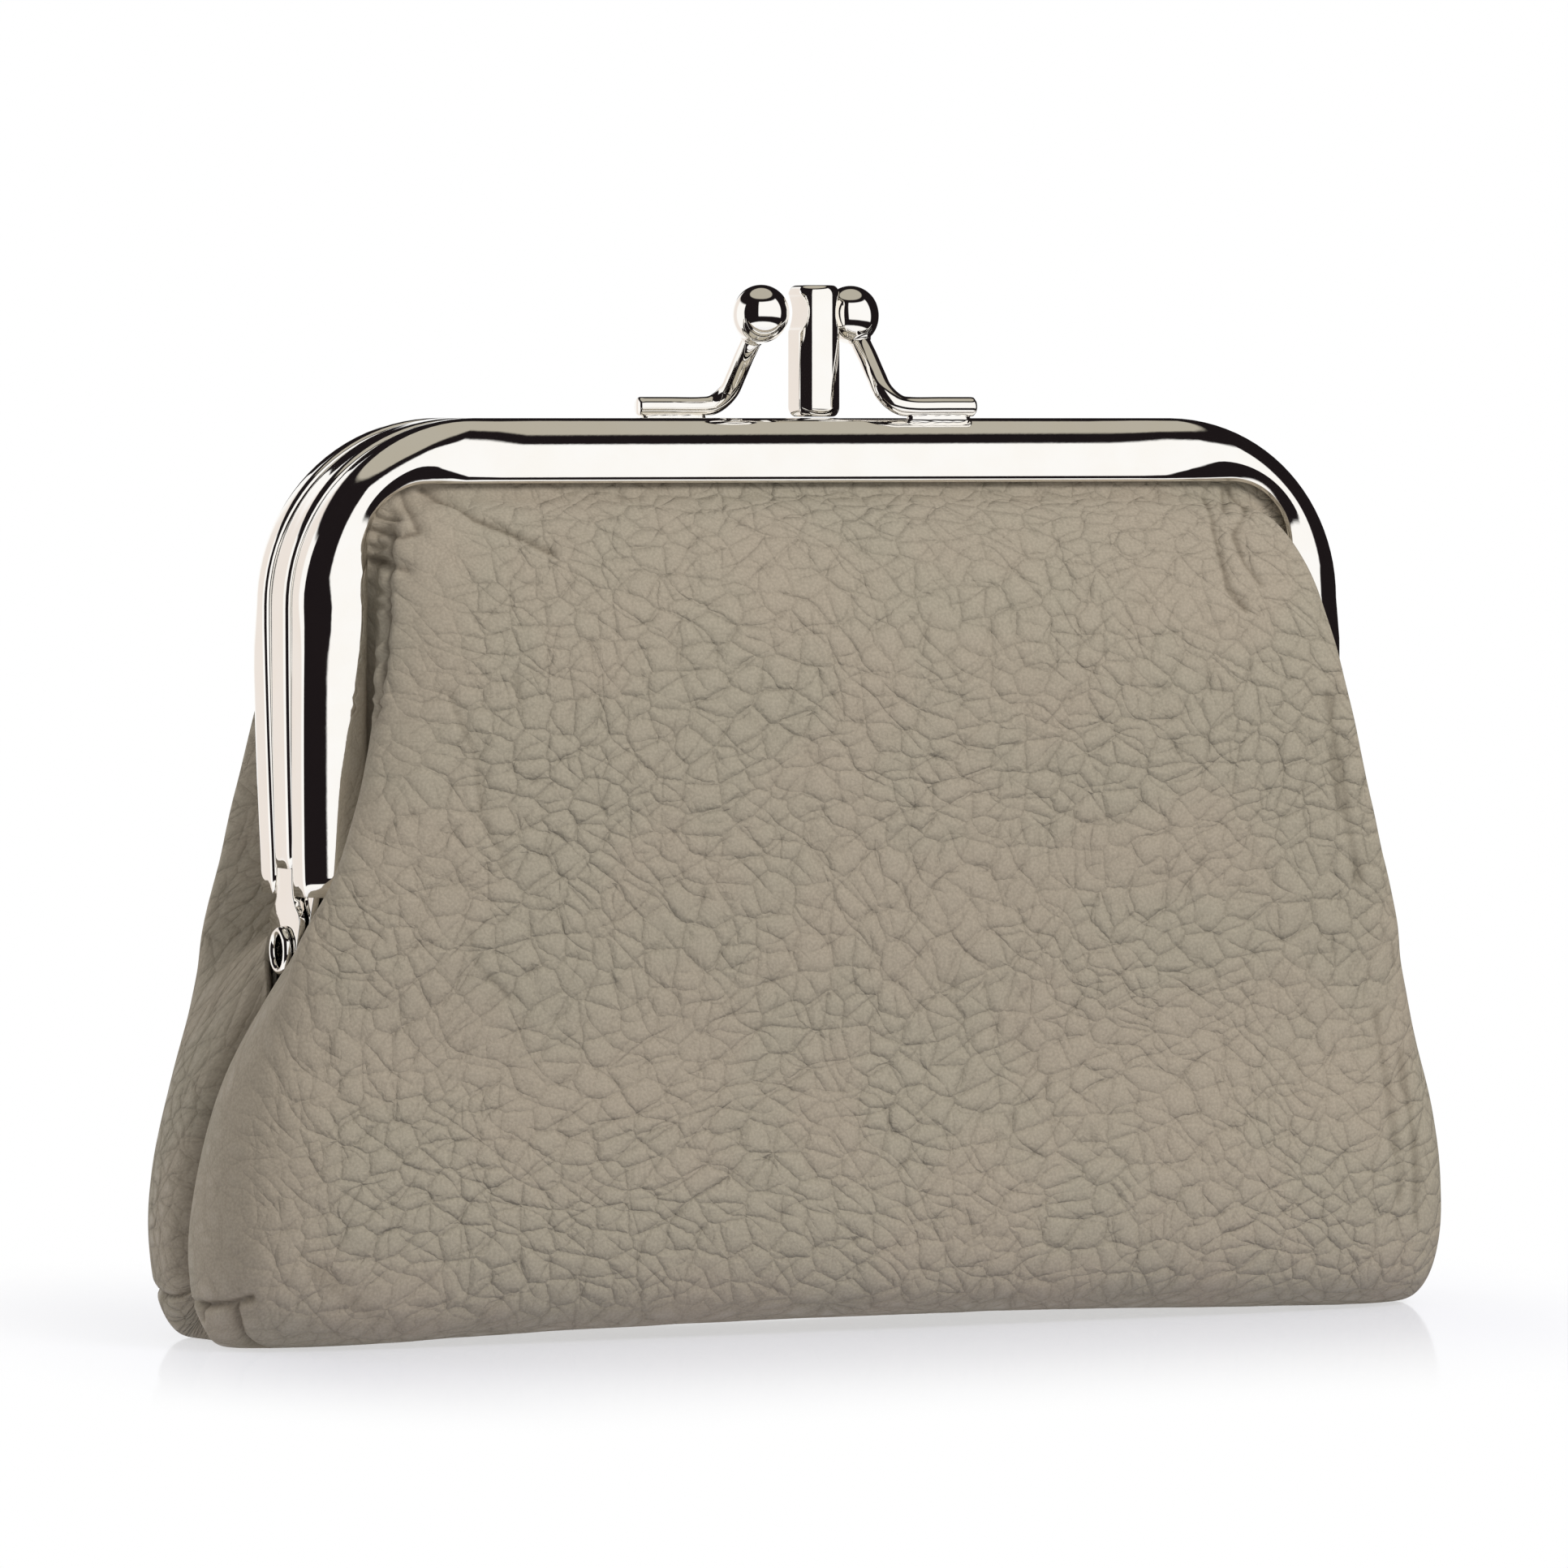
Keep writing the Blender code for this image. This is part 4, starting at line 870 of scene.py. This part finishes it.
class Nodes:
    """A material's or a world's node tree, built node by node."""

    def __init__(self, tree):
        self.tree = tree

    def add(self, kind, properties=None, **inputs):
        """A new node, with its properties set and its inputs linked or given their values. An input goes
        by its name, or by its number as in i0."""
        node = self.tree.nodes.new(kind)
        for key, value in (properties or {}).items():
            setattr(node, key, value)
        for key, value in inputs.items():
            socket = node.inputs[int(key[1:]) if key[1:].isdigit() else key]
            if isinstance(value, bpy.types.NodeSocket):
                self.tree.links.new(value, socket)
            else:
                socket.default_value = value
        return node

    def math(self, operation, first, second=0.0, third=0.0):
        """The output of a math node."""
        return self.add("ShaderNodeMath", {"operation": operation}, i0=first, i1=second, i2=third).outputs[0]

    def times(self, first, second):
        """Two values multiplied."""
        return self.math("MULTIPLY", first, second)

    def rise(self, value, low, high, start=0.0, end=1.0):
        """A smooth step from start to end as the value goes from low to high."""
        node = self.add("ShaderNodeMapRange", {"interpolation_type": "SMOOTHSTEP"}, i0=value, i1=low,
                        i2=high, i3=start, i4=end)
        return node.outputs[0]

    def band(self, value, low, high, soft):
        """One between two values and zero outside them, with soft edges."""
        rising = self.rise(value, low - soft, low + soft)
        falling = self.rise(value, high - soft, high + soft, 1.0, 0.0)
        return self.times(rising, falling)

    def vector(self, operation, first, second=(0.0, 0.0, 0.0), third=(0.0, 0.0, 0.0)):
        """The vector output of a vector math node."""
        node = self.add("ShaderNodeVectorMath", {"operation": operation}, i0=first, i1=second, i2=third)
        return node.outputs[0]

    def shift(self, place, scale, detail, size):
        """Flat coordinates pushed about by noise."""
        push = self.noise(place, scale, detail)["Color"]
        return self.vector("MULTIPLY_ADD", push, (size, size, 0.0), place)

    def noise(self, place, scale, detail, dimensions="2D"):
        """The outputs of a noise texture: its value and its colour."""
        return self.add("ShaderNodeTexNoise", {"noise_dimensions": dimensions}, Vector=place, Scale=scale,
                        Detail=detail).outputs

    def cell_edge(self, place, scale):
        """Distance from the nearest edge in a flat pattern of cells."""
        kind = {"feature": "DISTANCE_TO_EDGE", "voronoi_dimensions": "2D"}
        node = self.add("ShaderNodeTexVoronoi", kind, Vector=place, Scale=scale, Randomness=0.92)
        return node.outputs["Distance"]

    def channels(self, colour):
        """The three channels of a colour, as outputs."""
        return self.add("ShaderNodeSeparateColor", None, Color=colour).outputs

    def feed(self, shader, **inputs):
        """Links an output to each named input of a shader."""
        for key, value in inputs.items():
            self.tree.links.new(value, shader.inputs[key.replace("_", " ")])

    def mix(self, share, first, second, blend="MIX"):
        """The output of a colour mix."""
        node = self.add("ShaderNodeMix", {"data_type": "RGBA", "blend_type": blend}, i0=share, i6=first,
                        i7=second)
        return node.outputs[2]


def new_material(name, colour, roughness, metallic=0.0):
    """A material and its nodes, with the values that are even all over set on its shader."""
    made = bpy.data.materials.new(name)
    made.use_nodes = True
    made.diffuse_color = (*colour, 1.0)
    shader = made.node_tree.nodes["Principled BSDF"]
    shader.inputs["Base Color"].default_value = (*colour, 1.0)
    shader.inputs["Roughness"].default_value = roughness
    shader.inputs["Metallic"].default_value = metallic
    return made, Nodes(made.node_tree), shader


def leather_material():
    """Taupe leather with a pebbled grain, creased between its pebbles."""
    made, nodes, shader = new_material("pebbled_leather", (0.36, 0.325, 0.25), 0.5)
    place = nodes.add("ShaderNodeUVMap", {"uv_map": "sheet"}).outputs[0]
    grain = nodes.add("ShaderNodeAttribute", {"attribute_name": "grain"}).outputs["Fac"]
    # Painted shade of the creases and seam valleys, kept on the leather's points
    crease_shade = nodes.add("ShaderNodeAttribute", {"attribute_name": "crease_shade"}).outputs["Fac"]
    shifted = nodes.shift(nodes.shift(place, 7.0, 0.0, 0.032), 190.0, 2.0, 0.0024)
    uneven = nodes.channels(nodes.noise(place, 30.0, 0.0)["Color"])
    fade = nodes.channels(nodes.noise(place, 46.0, 2.0)["Color"])
    pores = nodes.noise(place, PORE_SCALE, 3.0)[0]
    patches = nodes.noise(place, PATCH_SCALE, 3.0)[0]

    # Pebbles: near is 1 on the edges between them, and 0 inside them
    stretched = nodes.add("ShaderNodeMapping", None, i0=shifted, i3=PEBBLE_STRETCH).outputs[0]
    edge = nodes.cell_edge(stretched, PEBBLE_SCALE)
    near = nodes.add("ShaderNodeMapRange", None, i0=edge, i1=0.0, i2=0.4, i3=1.0, i4=0.0).outputs[0]
    depth = nodes.rise(patches, 0.3, 0.6, 0.55, 1.0)
    valley = nodes.times(nodes.math("POWER", near, 2.6), nodes.times(depth, 1.25))
    line = nodes.times(nodes.math("POWER", near, 9.0), depth)

    # Long creases: each family is a row of parallel lines, which comes and goes with the noise
    for number, (way, low) in enumerate(CREASE_FAMILIES):
        along = nodes.add("ShaderNodeVectorMath", {"operation": "DOT_PRODUCT"}, i0=shifted, i1=way)
        along = nodes.math("ADD", uneven[number], along.outputs["Value"])
        near = nodes.math("MULTIPLY_ADD", nodes.math("PINGPONG", along, 0.5), -2.0, 1.0)
        depth = nodes.rise(fade[number], low, low + CREASE_FADE)
        wide = nodes.math("POWER", near, 2.4)
        wide = nodes.times(wide, nodes.math("MULTIPLY_ADD", depth, 0.5, 0.25))
        narrow = nodes.times(nodes.math("POWER", near, 9.0), depth)
        thin = nodes.times(nodes.math("POWER", near, 11.0), depth)
        hollow = nodes.math("MULTIPLY_ADD", narrow, 0.3, nodes.times(wide, 0.95))
        valley = nodes.math("ADD", valley, hollow)
        line = nodes.math("MULTIPLY_ADD", thin, 0.8, line)

    # Fine wrinkles and pores, and the height of it all
    fine = nodes.cell_edge(shifted, WRINKLE_SCALE)
    wrinkle = nodes.times(nodes.rise(fine, 0.0, 0.13, 1.0, 0.0), nodes.rise(fade[2], 0.4, 0.6))
    height = nodes.math("MULTIPLY_ADD", valley, -1.0, nodes.times(wrinkle, -0.07))
    height = nodes.math("MULTIPLY_ADD", pores, 0.12, height)
    height = nodes.times(height, grain)
    bump = nodes.add("ShaderNodeBump", None, Strength=1.0, Distance=GRAIN_HEIGHT, Height=height)

    # Colour, darker in the grain's lines, with painted shade in the creases and the seam valleys
    tone = nodes.mix(nodes.rise(patches, 0.35, 0.65), (0.403, 0.343, 0.264, 1.0), (0.39, 0.343, 0.263, 1.0))
    spots = nodes.mix(nodes.rise(pores, 0.3, 0.75), (0.9, 0.9, 0.9, 1.0), (1.07, 1.07, 1.07, 1.0))
    tone = nodes.mix(1.0, tone, spots, "MULTIPLY")
    line = nodes.math("MULTIPLY_ADD", wrinkle, 0.05, nodes.times(line, 0.17))
    line = nodes.times(line, grain)
    # The creases' painted shade is added to the grain's lines here
    shade = nodes.math("MULTIPLY_ADD", crease_shade, 0.65, line)
    dark = nodes.mix(1.0, tone, LINE_AND_SHADE_COLOUR, "MULTIPLY")
    nodes.feed(shader, Base_Color=nodes.mix(shade, tone, dark), Normal=bump.outputs[0],
               Roughness=nodes.rise(valley, 0.0, 0.6, 0.5, 0.7))
    return made


def metal_material():
    """Polished plated metal, pale gold, with faint polishing marks."""
    made, nodes, shader = new_material("polished_metal", (0.97, 0.95, 0.91), 0.05, 1.0)
    place = nodes.add("ShaderNodeTexCoord").outputs["Object"]
    haze = nodes.noise(place, 260.0, 4.0, "3D")[0]
    marks = nodes.noise(place, 1500.0, 2.0, "3D")[0]
    tone = nodes.mix(nodes.rise(haze, 0.3, 0.7), (0.975, 0.955, 0.92, 1.0), (0.965, 0.935, 0.885, 1.0))
    bump = nodes.add("ShaderNodeBump", None, Strength=0.12, Distance=0.00002, Height=marks)
    nodes.feed(shader, Base_Color=tone, Normal=bump.outputs[0],
               Roughness=nodes.rise(haze, 0.3, 0.75, 0.02, 0.06))
    return made


def fabric_material(name, first, second, scale, on_sheet=False):
    """Woven fabric, with its threads raised over and under, on a sheet's map or else in space."""
    made, nodes, shader = new_material(name, first, 0.85)
    if on_sheet:
        place = nodes.add("ShaderNodeUVMap", {"uv_map": "sheet"}).outputs[0]
    else:
        place = nodes.add("ShaderNodeTexCoord").outputs["Object"]
    waves = []
    for direction in ("X", "Y" if on_sheet else "Z"):
        wave = nodes.add("ShaderNodeTexWave", {"bands_direction": direction}, Vector=place, Scale=scale,
                         Distortion=0.4)
        waves.append(wave.outputs[1])
    weave = nodes.math("MAXIMUM", *waves)
    fuzz = nodes.noise(place, scale * 0.8, 3.0, "3D")[0]
    tone = nodes.mix(nodes.times(weave, fuzz), (*second, 1.0), (*first, 1.0))
    bump = nodes.add("ShaderNodeBump", None, Strength=0.6, Distance=0.0001, Height=weave)
    nodes.feed(shader, Base_Color=tone, Normal=bump.outputs[0],
               Roughness=nodes.rise(fuzz, 0.2, 0.8, 0.75, 0.95))
    return made


# Stage, light and camera


def make_floor():
    """A pale glossy table top that fades out round the purse."""
    steps = 96
    points = [(0.0, 0.0, FLOOR_HEIGHT)]
    for radius in FLOOR_RADII:
        points += [(x, y, FLOOR_HEIGHT) for x, y in circle((0.0, 0.0), radius, steps)]
    faces = [(0, 1 + step, 1 + (step + 1) % steps) for step in range(steps)]
    for ring in range(len(FLOOR_RADII) - 1):
        start = 1 + ring * steps
        for step in range(steps):
            after = (step + 1) % steps
            faces.append((start + step, start + steps + step, start + steps + after, start + after))
    mesh = mesh_from("floor", points, faces)
    floor = linked("floor", mesh)
    made, nodes, shader = new_material("floor", (0.83, 0.83, 1.0), 0.08)
    shader.inputs["Specular IOR Level"].default_value = 0.2
    place = nodes.add("ShaderNodeTexCoord").outputs["Object"]
    size = nodes.vector("ABSOLUTE", place)
    beyond = nodes.vector("SUBTRACT", size, FLOOR_BOX)
    beyond = nodes.vector("MULTIPLY", nodes.vector("MAXIMUM", beyond), FLOOR_FADE)
    distance = nodes.add("ShaderNodeVectorMath", {"operation": "LENGTH"}, i0=beyond).outputs["Value"]
    clear = nodes.add("ShaderNodeBsdfTransparent").outputs[0]
    share = nodes.rise(distance, 0.0, 1.0, FLOOR_CLEAR, 1.0)
    mixed = nodes.add("ShaderNodeMixShader", None, i0=share, i1=shader.outputs[0], i2=clear)
    output = made.node_tree.nodes["Material Output"]
    nodes.tree.links.new(mixed.outputs[0], output.inputs["Surface"])
    mesh.materials.append(made)


def make_world():
    """A white backdrop, even light, and a studio that shows only in glossy surfaces."""
    world = bpy.data.worlds.new("studio")
    bpy.context.scene.world = world
    world.use_nodes = True
    world.node_tree.nodes.clear()
    nodes = Nodes(world.node_tree)
    way = nodes.add("ShaderNodeTexCoord").outputs["Generated"]
    x, y, z = nodes.add("ShaderNodeSeparateXYZ", None, i0=way).outputs

    # Where a ray goes, in degrees from the front and above the horizon
    azimuth = nodes.times(nodes.math("ARCTAN2", x, nodes.times(y, -1.0)), 180 / math.pi)
    height = nodes.times(nodes.math("ARCSINE", z), 180 / math.pi)

    # White walls in front, behind, to the left and below, in a dark room with a beige ceiling
    window = nodes.band(azimuth, -33.0, 67.0, 2.0)
    window = nodes.times(window, nodes.band(height, -14.0, 45.0, 2.0))
    low = nodes.rise(height, 9.0, 13.0, 1.0, 0.0)
    behind = nodes.times(nodes.rise(nodes.math("ABSOLUTE", azimuth), 146.0, 152.0), low)
    left = nodes.rise(azimuth, -98.0, -94.0, 1.0, 0.0)
    behind = nodes.math("MAXIMUM", behind, left)
    behind = nodes.times(behind, nodes.rise(height, 24.0, 30.0, 1.0, 0.0))
    below = nodes.rise(height, -38.0, -34.0, 1.0, 0.0)
    white = nodes.math("MAXIMUM", nodes.math("MAXIMUM", window, behind), below)
    dark = nodes.mix(nodes.rise(height, 56.0, 60.0), STUDIO_DARK, STUDIO_CEILING)
    pale = nodes.mix(nodes.band(azimuth, -170.0, -140.0, 5.0), WHITE, STUDIO_WARM)
    shown = nodes.mix(white, dark, pale)

    # The studio for glossy rays, the backdrop for the camera, and even light for all others
    studio = nodes.add("ShaderNodeBackground", None, Color=shown, Strength=1.0).outputs[0]
    even = nodes.add("ShaderNodeBackground", None, Color=WHITE, Strength=0.5).outputs[0]
    backdrop = nodes.add("ShaderNodeBackground", None, Color=WHITE, Strength=1.0).outputs[0]
    path = nodes.add("ShaderNodeLightPath")
    lit = nodes.add("ShaderNodeMixShader", None, i0=path.outputs["Is Glossy Ray"], i1=even, i2=studio)
    seen = nodes.add("ShaderNodeMixShader", None, i0=path.outputs["Is Camera Ray"], i1=lit.outputs[0],
                     i2=backdrop)
    output = nodes.add("ShaderNodeOutputWorld")
    nodes.tree.links.new(seen.outputs[0], output.inputs["Surface"])


def make_lamp(name, spot, size, power):
    """A soft area lamp that looks at the purse and doesn't show in the metal."""
    data = bpy.data.lights.new(name, "AREA")
    data.size = size
    data.energy = power
    lamp = linked(name, data)
    lamp.location = spot
    aim = Vector((0.0, 0.0, 0.04)) - Vector(spot)
    lamp.rotation_euler = aim.to_track_quat("-Z", "Y").to_euler()
    lamp.visible_glossy = False


def make_camera():
    """A camera at the photograph's view."""
    data = bpy.data.cameras.new("camera")
    data.lens = 36 * FOCAL_LENGTH / PHOTO_WIDTH
    data.clip_start = 0.01
    data.clip_end = 20.0
    camera = linked("camera", data)
    azimuth = CAMERA_AZIMUTH * DEGREE
    away = (CAMERA_DISTANCE * math.sin(azimuth), -CAMERA_DISTANCE * math.cos(azimuth))
    camera.location = (*away, CAMERA_HEIGHT)
    camera.rotation_euler = ((90 - CAMERA_DOWN) * DEGREE, 0.0, azimuth + CAMERA_ASIDE * DEGREE)
    bpy.context.scene.camera = camera


make_camera()
metal = metal_material()
leather = leather_material()
lining = fabric_material("lining_fabric", (0.30, 0.27, 0.22), (0.2, 0.18, 0.145), 90.0, on_sheet=True)
board = fabric_material("divider_fabric", (0.28, 0.25, 0.20), (0.18, 0.16, 0.13), 900.0)
paper = fabric_material("paper_cord", (0.62, 0.50, 0.34), (0.5, 0.4, 0.26), 700.0)
make_bows(metal)
make_rivets(metal)
make_post(metal)
make_arms_and_balls(metal)
make_leather(leather)
make_linings(lining)
make_divider(board)
make_cords(paper)
make_floor()
make_world()
make_lamp("key", (0.3, -0.6, 0.55), size=0.3, power=4.1)
make_lamp("back", (-0.5, 0.6, 0.4), size=0.4, power=1.6)
bpy.context.scene.view_settings.view_transform = "Standard"
